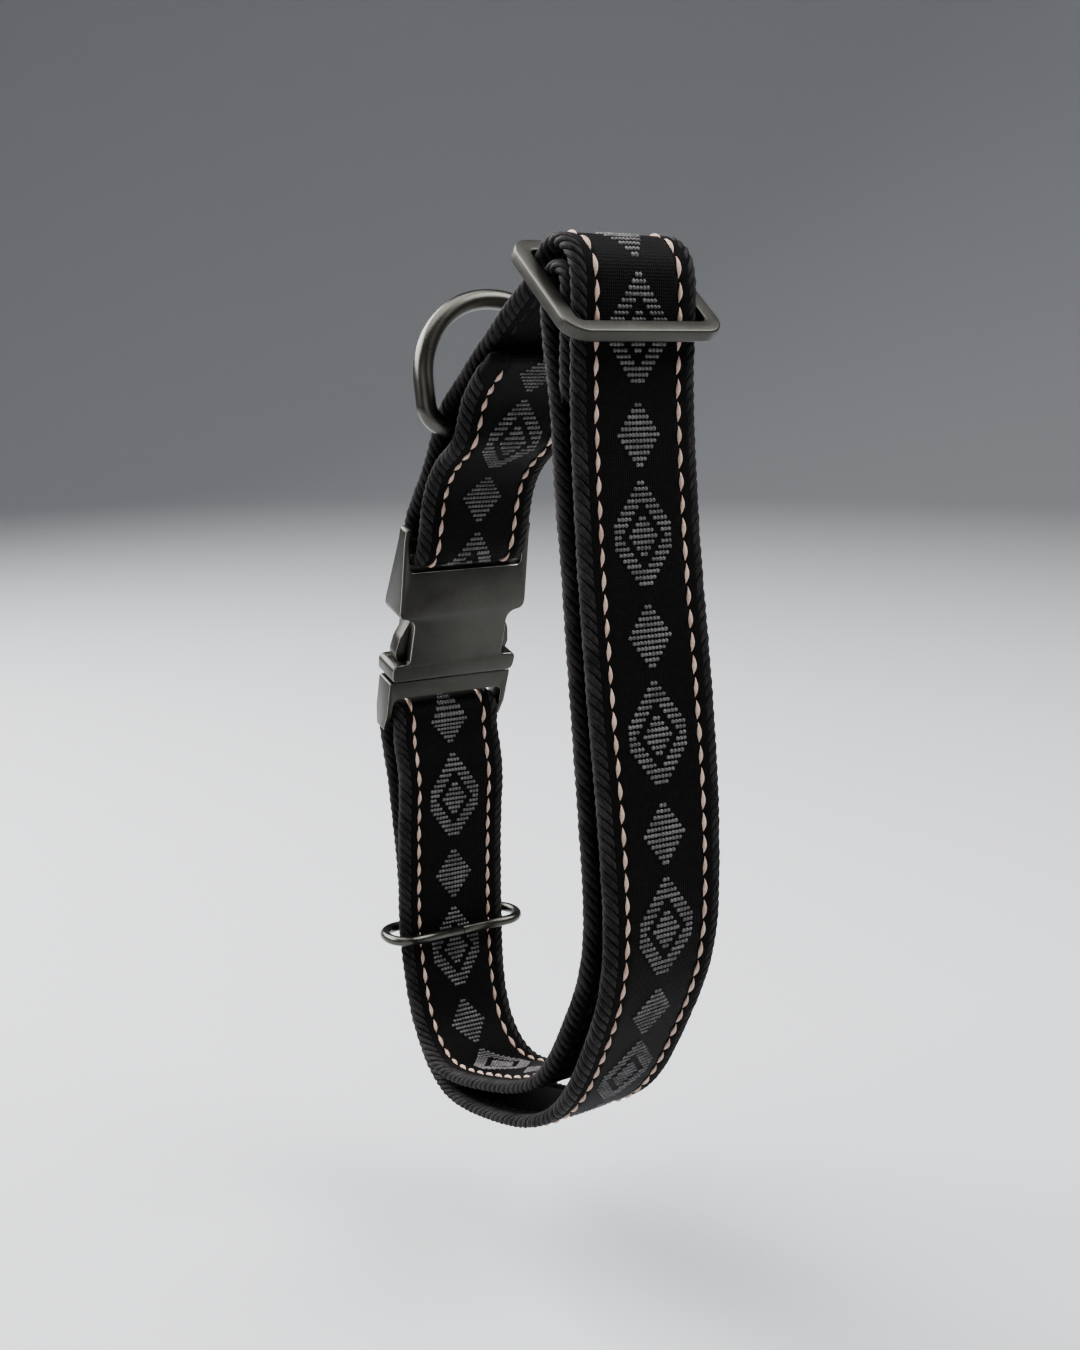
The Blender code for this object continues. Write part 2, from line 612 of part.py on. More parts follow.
def make_insert(axis):
    """The half that plugs in: a frame round the webbing's lower bar, a guide tongue, two pins."""
    top = MOUTH + MOUTH_GAP
    window_top = BUCKLE_REACH - INSERT_SLOT
    end = BUCKLE_REACH + BAR_THICK / 2
    half = [(INSERT_HALF, top, 0.0006), (INSERT_HALF - 0.0003, end, 0.0008),
            (SLOT_HALF, end, 0.0003), (SLOT_HALF, window_top, 0.0014)]
    outline = half + [(-x, y, r) for x, y, r in reversed(half)]
    body = as_mesh(flat_plate("buckle_insert", [rounded_outline(outline)], 2 * INSERT_THICK, parent=axis),
                   metal_finish("insert_metal"))
    slope = BUCKLE_REACH - BAR_THICK
    side = [(top - BAR_THICK, INSERT_THICK / 2), (slope, INSERT_THICK / 2), (end + BAR_THICK, BAR_THICK / 4)]
    combine(body, side_profile("insert_side", side, 4 * INSERT_HALF, axis), "INTERSECT")
    soften(body, INSERT_EDGE)
    bar = round_bar("insert_bar", BAR_THICK / 2, SLOT_HALF + INSERT_HALF, (1, 0, 0),
                    (0.0, BUCKLE_REACH, 0.0), parent=axis)
    combine(body, bar, "UNION")
    inside = POCKET_THICK - 2 * TOUCH_GAP
    tongue_low = top + INSERT_NECK * 0.5
    tongue = rounded_outline(both_sides([(TONGUE_HALF * 0.8, top - TONGUE_LENGTH, TONGUE_HALF * 0.6),
                                         (TONGUE_HALF, tongue_low, 0.0)]), 3)
    combine(body, as_mesh(flat_plate("tongue", [tongue], inside, CUTTERS, axis)), "UNION")
    room = ARM_EYE + SLIDE_GAP
    for side in (-1, 1):
        x = side * PIN_X
        inward = room + ARM_SWING_ROOM
        cavity = [(x - side * inward, top - BAR_THICK, 0.0), (x + side * room, top - BAR_THICK, 0.0),
                  (x + side * room, PIN_Y + room, room * 0.95), (x - side * room, PIN_Y + room, room * 0.95)]
        cut = flat_plate(f"cavity_cutter_{side}", [rounded_outline(cavity, 4)], POCKET_THICK, CUTTERS, axis)
        combine(body, as_mesh(cut))
        pin_length = (POCKET_THICK + INSERT_THICK) / 2
        pin = round_bar(f"pin_{side}", PIN_RADIUS, pin_length, (0, 0, 1), (x, PIN_Y, 0.0), 12, parent=axis)
        combine(body, pin, "UNION")


def make_arms(axis):
    """Two sprung levers on the insert's pins: squeezed, their hooks clear the socket's lip."""
    thick = POCKET_THICK - 2 * TOUCH_GAP
    outer = ARM_WIDE / 2
    hook_y = LIP_TOP - TOUCH_GAP - PIN_Y
    tip_y = MOUTH - ARM_LENGTH - PIN_Y
    window_y = WINDOW_TOP + SLIDE_GAP - PIN_Y
    for name, side in (("release_arm_left", 1), ("release_arm_right", -1)):
        outline = [(outer, 0.0, 0.0), (outer, hook_y, 0.0002),
                   (outer + ARM_HOOK + 0.0010, hook_y, 0.0004),
                   (outer + ARM_BUTTON, hook_y * 0.82 + window_y * 0.18, 0.0020),
                   (outer + ARM_BUTTON * 0.8, hook_y * 0.45 + window_y * 0.55, 0.0040),
                   (outer + ARM_HOOK * 0.3, window_y, 0.0006),
                   (outer - 0.0006, tip_y, 0.0007),
                   (-outer + 0.0002, tip_y, 0.0007),
                   (-outer, hook_y, 0.0030), (-outer, 0.0, 0.0)]
        outline = [(side * x, y, r) for x, y, r in outline]
        arm = flat_plate(name, [rounded_outline(outline, 3)], thick, parent=axis)
        arm.location = (side * PIN_X, PIN_Y, 0.0)
        arm = as_mesh(arm, metal_finish(name + "_metal"))
        place = (side * PIN_X, PIN_Y, 0.0)
        eye = round_bar(name + "_eye", ARM_EYE, thick, (0, 0, 1), place, parent=axis)
        combine(arm, eye, "UNION")
        hole_radius = PIN_RADIUS + TOUCH_GAP
        hole = round_bar(name + "_hole", hole_radius, 2 * thick, (0, 0, 1), place, 12, parent=axis)
        combine(arm, hole)


def wire(name, points, radius, closed, material):
    """A round wire along points given in the object's own frame."""
    curve = bpy.data.curves.new(name, "CURVE")
    curve.dimensions = "3D"
    curve.bevel_depth = radius
    curve.bevel_resolution = 3
    curve.use_fill_caps = True
    spline = curve.splines.new("POLY")
    spline.points.add(len(points) - 1)
    for point, place in zip(spline.points, points):
        point.co = (*place, 1.0)
    spline.use_cyclic_u = closed
    curve.materials.append(material)
    return add_object(name, curve)


def make_ring():
    """The leash ring: a straight bar in the fold and a round bow, hinged on the bar."""
    low = RING_CORNER
    outline = rounded_outline([(-RING_HALF, 0.0, low), (RING_HALF, 0.0, low),
                               (RING_HALF, RING_DEPTH, RING_HALF * 0.98),
                               (-RING_HALF, RING_DEPTH, RING_HALF * 0.98)], 8)
    points = []
    for place in outline:
        if not points or (Vector(points[-1][:2]) - place).length > 0.0004:
            points.append((place.x, place.y, 0.0))
    ring = wire("d_ring", points, RING_WIRE / 2, True, metal_finish("ring_metal"))
    across = Vector((0.0, -1.0, 0.0))
    lean = direction(RING_LEAN)
    upward = Vector((lean[0], 0.0, lean[1]))
    frame = Matrix((across, upward, across.cross(upward))).transposed().to_4x4()
    ring.matrix_world = Matrix.Translation((RING_BAR[0], 0.0, RING_BAR[1])) @ frame


def make_keeper():
    """A wire loop, butted shut, round both layers of the back strand."""
    rows = [row for row in NECK_LINE if row["drop"] == KEEPER_SHARE]
    index = NECK_LINE.index(rows[0])
    inner = loop_layer(inner_offset)[index]
    outer = loop_layer(outer_offset)[index]
    middle_x = (inner[0] + outer[0]) / 2
    middle_y = (inner[2] + outer[2]) / 2
    half_deep = abs(inner[0] - outer[0]) / 2 + HALF_WEB + 2 * TOUCH_GAP + KEEPER_WIRE / 2
    half_wide = WEB_WIDTH / 2 + KEEPER_PLAY + KEEPER_WIRE / 2
    outline = rounded_outline([(0.0, half_deep, 0.0), (-half_wide, half_deep, half_deep * 0.95),
                               (-half_wide, -half_deep, half_deep * 0.95),
                               (half_wide, -half_deep, half_deep * 0.95),
                               (half_wide, half_deep, half_deep * 0.95)], 6)
    butt = TOUCH_GAP / 2
    points = [(-butt, half_deep, 0.0)]
    points += [(p.x, p.y, 0.0) for p in outline[1:]]
    points.append((butt, half_deep, 0.0))
    keeper = wire("keeper_ring", points, KEEPER_WIRE / 2, False, metal_finish("keeper_metal"))
    across = Vector((0.0, 1.0, 0.0))
    front = Vector((1.0, 0.0, 0.0))
    frame = Matrix((across, front, across.cross(front))).transposed().to_4x4()
    keeper.matrix_world = Matrix.Translation((middle_x, middle_y, inner[1])) @ frame
    as_mesh(keeper)


def main():
    make_strap()
    make_slider()
    axis = buckle_axis()
    make_socket(axis)
    make_insert(axis)
    make_arms(axis)
    make_ring()
    make_keeper()


main()
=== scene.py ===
# %% [markdown]
# An adjustable dog collar, hanging upright as a closed loop. One long strap of woven webbing runs
# through a metal slider and both halves of a side-release buckle. A leash ring hangs in its last
# fold, and a wire keeper holds two layers together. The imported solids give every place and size,
# and this lesson dresses them: cloth first, then thread, then metal, then light.

import math

import bmesh
import bpy
import numpy as np
from mathutils import Matrix, Vector


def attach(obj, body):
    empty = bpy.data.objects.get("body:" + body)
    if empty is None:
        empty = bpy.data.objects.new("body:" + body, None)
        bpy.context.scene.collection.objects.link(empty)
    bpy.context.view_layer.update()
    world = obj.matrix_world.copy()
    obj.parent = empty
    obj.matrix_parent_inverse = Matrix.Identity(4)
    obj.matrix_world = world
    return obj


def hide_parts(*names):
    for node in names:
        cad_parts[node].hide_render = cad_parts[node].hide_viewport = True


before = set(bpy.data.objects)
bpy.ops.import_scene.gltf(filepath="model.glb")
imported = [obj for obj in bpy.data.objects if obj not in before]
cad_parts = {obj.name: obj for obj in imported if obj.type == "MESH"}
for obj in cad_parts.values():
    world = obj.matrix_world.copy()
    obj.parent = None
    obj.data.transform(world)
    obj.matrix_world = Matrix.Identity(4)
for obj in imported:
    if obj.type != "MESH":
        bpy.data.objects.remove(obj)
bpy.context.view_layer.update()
MM = 0.001

# %% [markdown]
# The route of the webbing is known from the solids' own sizes. A table gives the neck side of the
# loop as shares of its depth and drop, and short turns go round the bars. Repeating those numbers
# here, instead of reading points from a mesh, gives a smooth line that can be sampled as finely
# as the weave needs.

# %% Sizes of the webbing and of what it passes
WEB_WIDTH = 25.0 * MM
WEB_THICK = 2.8 * MM
SEAM_GAP = 0.3 * MM
SEWN_TAIL = 20.0 * MM
LOOP_DEPTH = 67.0 * MM
LOOP_DROP = 157.6 * MM
LAYER_SPREAD = 4.2 * MM
LAYER_SWAY = 1.4 * MM
FOLD_SPAN = 21.5 * MM
FOLD_SLACK = 0.1 * MM
FOLD_EASE = 1.0 * MM
SLIDER_TILT = math.radians(37.5)
SLIDER_WIDE = 3.0 * MM
SLIDER_THICK = 2.4 * MM
SLIDER_MIDDLE = 2.0 * MM
SLIDER_MIDDLE_THICK = 2.2 * MM
SLIDER_EDGE = 0.4 * MM
SLIDER_CORNER = 4.2 * MM
HUMP_SLACK = 1.2 * MM
LEAVE_ANGLE = math.radians(88.0)
BUCKLE_TILT = math.radians(17.0)
BUCKLE_DEPTH_SHARE = -0.7672
BUCKLE_DROP_SHARE = -0.2925
BAR_THICK = 2.8 * MM
BAR_INSET = 2.6 * MM
BUCKLE_REACH = 42.6 * MM
RING_WIRE = 3.8 * MM
RING_PLAY = 1.6 * MM
RING_SEAT_GAP = 0.4 * MM
RING_DEPTH = 24.0 * MM
RING_CORNER = 4.2 * MM
RING_LEAN = math.radians(102.0)
KEEPER_WIRE = 2.1 * MM
KEEPER_PLAY = 2.1 * MM
TOUCH_GAP = 0.3 * MM
SLIDE_GAP = 0.4 * MM

# Neck side of the loop: reach, drop, spread, sway as shares of their sizes, and twist in degrees.
NECK_LINE = (
    (-0.024, 0.122, 0.86, 0.0, 0.0), (0.000, 0.202, 0.72, 0.0, 1.0), (0.033, 0.287, 0.56, 0.0, 2.0),
    (0.064, 0.376, 0.58, 0.0, 3.5), (0.092, 0.459, 0.62, 0.0, 4.0), (0.116, 0.548, 0.74, 0.0, 2.5),
    (0.134, 0.630, 0.76, 0.0, 0.0), (0.135, 0.696, 0.80, 0.0, -2.0), (0.104, 0.751, 0.88, 0.0, -4.0),
    (0.048, 0.800, 0.96, 0.0, -5.0), (-0.020, 0.853, 1.00, 0.0, -5.0), (-0.109, 0.905, 0.96, 0.0, -3.0),
    (-0.235, 0.942, 0.90, 0.1, 0.0), (-0.405, 0.974, 0.78, 0.3, 4.0), (-0.565, 0.997, 0.62, 0.5, 7.0),
    (-0.675, 1.000, 0.50, 0.8, 8.0), (-0.757, 0.980, 0.38, 1.0, 8.0), (-0.809, 0.944, 0.26, 1.0, 6.0),
    (-0.839, 0.893, 0.16, 1.0, 3.0), (-0.854, 0.846, 0.10, 1.0, 0.0), (-0.857, 0.763, 0.32, 0.9, 0.0),
    (-0.854, 0.680, 0.68, 0.6, 0.0), (-0.858, 0.615, 0.90, 0.2, 0.0),
)
KEEPER_ROW = 19
# The stretch from the slider down to the buckle: how far along, and how far it bows out.
UPPER_LINE = ((0.072, 0.009), (0.145, 0.026), (0.241, 0.045), (0.357, 0.064), (0.473, 0.080),
              (0.589, 0.093), (0.696, 0.066), (0.822, 0.043))
RING_ROW = 6


def direction(angle):
    """Unit vector in the X-Z plane, from +X towards +Z."""
    return np.array((math.cos(angle), math.sin(angle)))


def corner_reach(width, thickness):
    """How far a bar's rounded corner stands from its middle line."""
    return math.hypot(width, thickness) / 2 - SLIDER_EDGE * (math.sqrt(2) - 1)


HALF_WEB = WEB_THICK / 2
INNER_TURN = corner_reach(SLIDER_MIDDLE, SLIDER_MIDDLE_THICK) + SEAM_GAP + HALF_WEB
OUTER_TURN = INNER_TURN + WEB_THICK + SEAM_GAP
MIDDLE_BAR = np.array((6.8, 6.3)) * MM
SLIDER_UP = np.array((-math.cos(SLIDER_TILT), math.sin(SLIDER_TILT)))
SLIDER_REACH = corner_reach(SLIDER_WIDE, SLIDER_THICK) + SEAM_GAP + HALF_WEB
NEAR_BAR = (OUTER_TURN + SLIDER_REACH) / math.cos(SLIDER_TILT)
FAR_BAR = OUTER_TURN + SLIDER_REACH + SEAM_GAP
BUCKLE_DOWN = np.array((-math.sin(BUCKLE_TILT), -math.cos(BUCKLE_TILT)))
BUCKLE_NECK = np.array((math.cos(BUCKLE_TILT), -math.sin(BUCKLE_TILT)))
SOCKET_TOP = MIDDLE_BAR + np.array((BUCKLE_DEPTH_SHARE * LOOP_DEPTH, BUCKLE_DROP_SHARE * LOOP_DROP))
SOCKET_BAR = SOCKET_TOP + BAR_INSET * BUCKLE_DOWN
INSERT_BAR = SOCKET_TOP + BUCKLE_REACH * BUCKLE_DOWN
BAR_TURN = BAR_THICK / 2 + SEAM_GAP + HALF_WEB
RING_OFFSET = RING_WIRE / 2 + RING_SEAT_GAP + HALF_WEB
SLOT_HALF = WEB_WIDTH / 2 + SLIDE_GAP
print("slider bars at", round(NEAR_BAR / MM, 2), "and", round(FAR_BAR / MM, 2), "mm from the middle bar")


# %% A smooth line through rows of numbers
def spline_through(rows, points_per_row):
    """Natural cubic spline through rows of numbers, by the distance along the first two columns."""
    rows = np.asarray(rows, dtype=float)
    steps = np.hypot(*np.diff(rows[:, :2], axis=0).T)
    count = len(rows)
    system = np.eye(count)
    right = np.zeros_like(rows)
    for i in range(1, count - 1):
        system[i, i - 1] = steps[i - 1]
        system[i, i] = 2 * (steps[i - 1] + steps[i])
        system[i, i + 1] = steps[i]
        right[i] = 6 * ((rows[i + 1] - rows[i]) / steps[i] - (rows[i] - rows[i - 1]) / steps[i - 1])
    bend = np.linalg.solve(system, right)
    made = []
    for i in range(count - 1):
        for t in np.linspace(0, 1, points_per_row, endpoint=False):
            a, b, h = 1 - t, t, steps[i]
            made.append(a * rows[i] + b * rows[i + 1]
                        + ((a ** 3 - a) * bend[i] + (b ** 3 - b) * bend[i + 1]) * h * h / 6)
    made.append(rows[-1])
    return np.array(made)


# %% The two layers of the loop
TURN_POINTS = 9
# How much of the outer layer's sway the inner layer has, the other way.
INNER_SWAY = 0.4


def turn_round(centre, radius, start, end):
    """Rows of a turn round a bar: x, z, sideways place and twist."""
    return [(*(centre + radius * direction(a)), 0.0, 0.0) for a in np.linspace(start, end, TURN_POINTS)]


def loop_layer(offset_of):
    """The neck line set outwards, one row for each row of the table."""
    table = np.array(NECK_LINE)
    fine = MIDDLE_BAR + table[:, :2] * np.array((LOOP_DEPTH, -LOOP_DROP))
    along = np.gradient(fine, axis=0)
    along /= np.linalg.norm(along, axis=1)[:, None]
    out = np.stack((-along[:, 1], along[:, 0]), axis=1)
    layer = []
    for point, normal, row in zip(fine, out, NECK_LINE):
        offset, sway = offset_of(row)
        layer.append((*(point + offset * normal), sway, row[4]))
    return layer


def inner_offset(row):
    """How far out and how far sideways the inner layer lies."""
    return HALF_WEB, -row[3] * LAYER_SWAY * INNER_SWAY


def outer_offset(row):
    """How far out and how far sideways the outer layer lies."""
    return HALF_WEB + WEB_THICK + max(row[2] * LAYER_SPREAD, SEAM_GAP), row[3] * LAYER_SWAY


print("each layer of the loop has", len(NECK_LINE), "rows")


# %% The stretch that carries the leash ring
def upper_layer():
    """The single stretch from under the far bar to the socket's bar, and its outward normals."""
    leave = direction(SLIDER_TILT - LEAVE_ANGLE)
    top = MIDDLE_BAR + FAR_BAR * SLIDER_UP + SLIDER_REACH * leave
    bottom = SOCKET_BAR - BAR_TURN * BUCKLE_NECK
    span = bottom - top
    reach = np.hypot(*span)
    out = np.array((span[1], -span[0])) / reach
    centre = [top]
    centre += [top + share * span + bow * reach * out for share, bow in UPPER_LINE]
    centre = np.array(centre + [bottom])
    along = np.gradient(centre, axis=0)
    along /= np.linalg.norm(along, axis=1)[:, None]
    return centre, np.stack((along[:, 1], -along[:, 0]), axis=1)


UPPER_CENTRE, UPPER_OUT = upper_layer()
RING_BAR = UPPER_CENTRE[RING_ROW] - RING_OFFSET * UPPER_OUT[RING_ROW]
print("bar of the leash ring at", [round(float(v) / MM, 1) for v in RING_BAR], "mm")


def folded_layer():
    """The end of the webbing, back up on the neck side over the leash ring's bar."""
    rows = []
    past_ring = 0.0
    for i in range(len(UPPER_CENTRE) - 2, 0, -1):
        offset = WEB_THICK + SEAM_GAP + FOLD_SLACK
        if abs(i - RING_ROW) == 1:
            offset += FOLD_EASE
        if i == RING_ROW:
            offset = 2 * RING_OFFSET
        here = UPPER_CENTRE[i] - offset * UPPER_OUT[i]
        if i < RING_ROW:
            step = np.hypot(*(here - rows[-1]))
            if past_ring + step >= FOLD_SPAN:
                rows.append(rows[-1] + (here - rows[-1]) * (FOLD_SPAN - past_ring) / step)
                break
            past_ring += step
        rows.append(here)
    return [(x, z, 0.0, 0.0) for x, z in rows]


# %% The whole line of the webbing
HUMP_DEGREES = (0, 30, 60, 90, 115)
# Where on the sewn tail its straight part ends, as a share of its length.
TAIL_STRAIGHT = 0.25
STATION = 0.7 * MM
POINTS_PER_ROW = 40


def webbing_rows():
    """The middle line of the whole webbing, from its sewn tail to its folded end."""
    inner = loop_layer(inner_offset)
    outer = loop_layer(outer_offset)
    rows = [(inner[0][0] + WEB_THICK + SEAM_GAP, inner[0][1], 0.0, 0.0),
            (MIDDLE_BAR[0] + INNER_TURN, MIDDLE_BAR[1] - SEWN_TAIL * TAIL_STRAIGHT, 0.0, 0.0)]
    rows += turn_round(MIDDLE_BAR, INNER_TURN, 0.0, math.pi)
    rows += inner
    rows += turn_round(INSERT_BAR, BAR_TURN, -BUCKLE_TILT, math.pi - BUCKLE_TILT)
    rows += [(x, z, sway, -twist) for x, z, sway, twist in outer[::-1]]
    rows.append((MIDDLE_BAR[0] + OUTER_TURN, MIDDLE_BAR[1] - NEAR_BAR * SLIDER_UP[1], 0.0, 0.0))
    for angle in np.radians(HUMP_DEGREES):
        slack = HUMP_SLACK * math.sin(angle) ** 2
        rows.append((*(MIDDLE_BAR + (OUTER_TURN + slack) * direction(angle)), 0.0, 0.0))
    rows += [(x, z, 0.0, 0.0) for x, z in UPPER_CENTRE[:-1]]
    rows += turn_round(SOCKET_BAR, BAR_TURN, math.pi - BUCKLE_TILT, 2 * math.pi - BUCKLE_TILT)
    return rows + folded_layer()


def evenly(rows, step):
    """The same line with a point at every step of its length."""
    run = np.concatenate(([0.0], np.cumsum(np.linalg.norm(np.diff(rows[:, :3], axis=0), axis=1))))
    place = np.linspace(0.0, run[-1], round(run[-1] / step) + 1)
    return place, np.stack([np.interp(place, run, column) for column in rows.T], axis=1)


PLACE, LINE = evenly(spline_through(webbing_rows(), POINTS_PER_ROW), STATION)
MIDDLE = LINE[:, (0, 2, 1)]
AHEAD = np.gradient(MIDDLE, axis=0)
AHEAD /= np.linalg.norm(AHEAD, axis=1)[:, None]
LEAN = np.radians(LINE[:, 3])
ACROSS = np.stack((-AHEAD[:, 2] * np.sin(LEAN), np.cos(LEAN), AHEAD[:, 0] * np.sin(LEAN)), axis=1)
ACROSS -= (ACROSS * AHEAD).sum(axis=1)[:, None] * AHEAD
ACROSS /= np.linalg.norm(ACROSS, axis=1)[:, None]
FACING = np.cross(ACROSS, AHEAD)
WEB_LENGTH = float(PLACE[-1])
print("webbing", round(WEB_LENGTH / MM, 1), "mm long,", len(PLACE), "stations")

# %% [markdown]
# The cloth itself is a thick strap with soft edges. Cut across, it is flat in the middle, dips under
# each line of stitches and swells outside it. Carrying that section along the line makes one closed
# mesh, and a map of "how far along" and "how far round" goes with it, so that the weave follows the
# strap through every bend.

# %% The section and the strap
STITCH_LINE = 8.4 * MM
STITCH_PITCH = 3.94 * MM
HALF_SECTION = np.array(((0.0, 1.20), (1.5, 1.20), (3.0, 1.20), (4.5, 1.21), (6.0, 1.24), (7.2, 1.24),
                         (7.8, 1.18), (8.15, 1.10), (8.4, 1.07), (8.65, 1.14), (8.9, 1.26), (9.15, 1.20),
                         (9.4, 1.30), (9.65, 1.22), (9.9, 1.30), (10.2, 1.18), (10.6, 1.12), (11.2, 1.04),
                         (11.7, 0.88), (12.0, 0.62), (12.16, 0.34), (12.2, 0.0))) * MM
PUCKER = 0.14 * MM
PUCKER_HALF = 1.1 * MM
END_TAPER = 1.5 * MM
END_SHARE = 0.12


def round_section():
    """The closed section as (across, height), and how far round each point lies."""
    right = HALF_SECTION
    face = np.concatenate((right[:0:-1] * (-1, 1), right))
    back = face[-2:0:-1] * (1, -1)
    ring = np.concatenate((face, back))
    closed = np.concatenate((ring, ring[:1]))
    run = np.concatenate(([0.0], np.cumsum(np.linalg.norm(np.diff(closed, axis=0), axis=1))))
    return ring, run - run[len(right) - 1]


SECTION, ROUND = round_section()
GIRTH = float(ROUND[-1] - ROUND[0])


def add_piece(name, mesh, material=None):
    """A new object at the origin with this mesh."""
    item = bpy.data.objects.new(name, mesh)
    bpy.context.scene.collection.objects.link(item)
    if material:
        mesh.materials.clear()
        mesh.materials.append(material)
    return item


def ring_faces(low, high, sides):
    """Faces between two rings of points, which start at low and at high."""
    return [(low + k, high + k, high + (k + 1) % sides, low + (k + 1) % sides) for k in range(sides)]


def tube_faces(rings, sides):
    """Faces of a closed tube of rings, with a cap at each end."""
    faces = []
    for i in range(rings - 1):
        faces += ring_faces(i * sides, (i + 1) * sides, sides)
    faces.append(tuple(range(sides)))
    faces.append(tuple((rings - 1) * sides + k for k in reversed(range(sides))))
    return faces


def make_strap():
    """The section carried along the line, closed at both ends."""
    count, last = len(SECTION), len(PLACE) - 1
    share = np.minimum(PLACE, WEB_LENGTH - PLACE) / END_TAPER
    end_taper = np.sqrt(np.clip(share, END_SHARE, 1.0))
    holes = 0.5 + 0.5 * np.cos(2 * math.pi * PLACE / STITCH_PITCH)
    near_line = np.clip(1 - np.abs(np.abs(SECTION[:, 0]) - STITCH_LINE) / PUCKER_HALF, 0, 1)
    height = SECTION[None, :, 1] - np.sign(SECTION[:, 1]) * PUCKER * holes[:, None] * near_line
    height = height * end_taper[:, None]
    across = ACROSS[:, None] * SECTION[None, :, :1]
    spots = MIDDLE[:, None] + across + FACING[:, None] * height[:, :, None]
    mesh = bpy.data.meshes.new("strap_cloth")
    mesh.from_pydata(spots.reshape(-1, 3).tolist(), [], tube_faces(last + 1, count))
    corners = []
    for i in range(last):
        corners += [(i + a, k + b) for k in range(count) for a, b in ((0, 0), (1, 0), (1, 1), (0, 1))]
    corners += [(0, k) for k in range(count)] + [(last, k) for k in reversed(range(count))]
    weave = mesh.uv_layers.new(name="weave")
    corners = np.array(corners)
    flat = np.stack((PLACE[corners[:, 0]], ROUND[corners[:, 1]]), axis=1) * 100.0
    weave.data.foreach_set("uv", flat.astype(np.float32).ravel())
    mesh.shade_smooth()
    mesh.update()
    return mesh


def outward(mesh):
    """Turn the mesh inside out where its volume says that its faces look inwards."""
    builder = bmesh.new()
    builder.from_mesh(mesh)
    volume = builder.calc_volume(signed=True)
    builder.free()
    if volume < 0:
        mesh.flip_normals()
    return abs(volume)


strap_mesh = make_strap()
strap_volume = outward(strap_mesh)
print("strap:", len(strap_mesh.polygons), "faces,", round(strap_volume * 1e6, 1), "cubic centimetres")

# %% [markdown]
# Everything that repeats on the cloth is laid out flat first, as if the strap were stretched on a
# table: x along it, y across it, z above its middle. One small group of Geometry Nodes then carries
# any flat piece onto the real line. That keeps each pattern simple, and a stitch or a rib bends
# with the strap instead of sticking out of it.


# %% Helpers for node trees
def node(tree, kind, inputs=None, **settings):
    """Add a node, set its properties, and link or set its inputs."""
    made = tree.nodes.new(kind)
    for label, value in settings.items():
        setattr(made, label, value)
    for label, value in (inputs or {}).items():
        if isinstance(value, bpy.types.NodeSocket):
            tree.links.new(value, made.inputs[label])
        else:
            made.inputs[label].default_value = value
    return made


def maths(tree, how, *values):
    """A maths node of the given kind on sockets or numbers."""
    return node(tree, "ShaderNodeMath", dict(enumerate(values)), operation=how).outputs[0]


def tree_with(name, inputs):
    """An empty geometry tree with a line to follow and the named inputs."""
    tree = bpy.data.node_groups.new(name, "GeometryNodeTree")
    tree.interface.new_socket("Webbing line", in_out="INPUT", socket_type="NodeSocketGeometry")
    for label, kind, value in inputs:
        socket = tree.interface.new_socket(label, in_out="INPUT", socket_type="NodeSocket" + kind)
        if value is not None:
            socket.default_value = value
    tree.interface.new_socket("Geometry", in_out="OUTPUT", socket_type="NodeSocketGeometry")
    return tree, node(tree, "NodeGroupInput").outputs


def vector(tree, x=0.0, y=0.0, z=0.0):
    """A vector of three sockets or numbers."""
    return node(tree, "ShaderNodeCombineXYZ", {0: x, 1: y, 2: z}).outputs[0]


def flat_place(tree):
    """Where each point lies on the flat strap: X along it, Y across it and Z above its middle."""
    place = node(tree, "GeometryNodeInputPosition").outputs[0]
    return node(tree, "ShaderNodeSeparateXYZ", {0: place}).outputs


def line_length(tree, given):
    """The length of the webbing's line, and the line as a curve."""
    curve = node(tree, "GeometryNodeMeshToCurve", {"Mesh": given["Webbing line"]}).outputs[0]
    return node(tree, "GeometryNodeCurveLength", {0: curve}).outputs[0], curve


def uneven(tree, low, high, seed):
    """A random vector for each copy, between two vectors."""
    return node(tree, "FunctionNodeRandomValue", {0: low, 1: high, "Seed": seed},
                data_type="FLOAT_VECTOR").outputs[0]


# %% The group that carries flat pieces onto the line
def carry_onto_line():
    """A group that moves flat pieces onto the webbing's own line."""
    tree, given = tree_with("carry_onto_line", (("Flat", "Geometry", None),))
    flat = flat_place(tree)
    curve = line_length(tree, given)[1]
    place = None
    for label, amount in (("across", flat["Y"]), ("facing", flat["Z"])):
        named = node(tree, "GeometryNodeInputNamedAttribute", {"Name": label}, data_type="FLOAT_VECTOR")
        sample = node(tree, "GeometryNodeSampleCurve",
                      {"Curves": curve, "Value": named.outputs[0], "Length": flat["X"]},
                      mode="LENGTH", data_type="FLOAT_VECTOR", use_all_curves=True)
        step = node(tree, "ShaderNodeVectorMath", {0: sample.outputs["Value"], "Scale": amount},
                    operation="SCALE")
        start = sample.outputs["Position"] if place is None else place
        place = node(tree, "ShaderNodeVectorMath", {0: start, 1: step.outputs[0]},
                     operation="ADD").outputs[0]
    moved = node(tree, "GeometryNodeSetPosition", {"Geometry": given["Flat"], "Position": place})
    node(tree, "NodeGroupOutput", {0: moved.outputs[0]})
    return tree


CARRY = carry_onto_line()
print("group", CARRY.name, "has", len(CARRY.nodes), "nodes")


# %% Repeating a shape, and keeping the result as a mesh
def point_row(tree, count, pitch, start):
    """A row of points along the flat strap, one at every pitch."""
    return node(tree, "GeometryNodeMeshLine", {"Count": count, "Start Location": start,
                                               "Offset": vector(tree, pitch)}, mode="OFFSET").outputs[0]


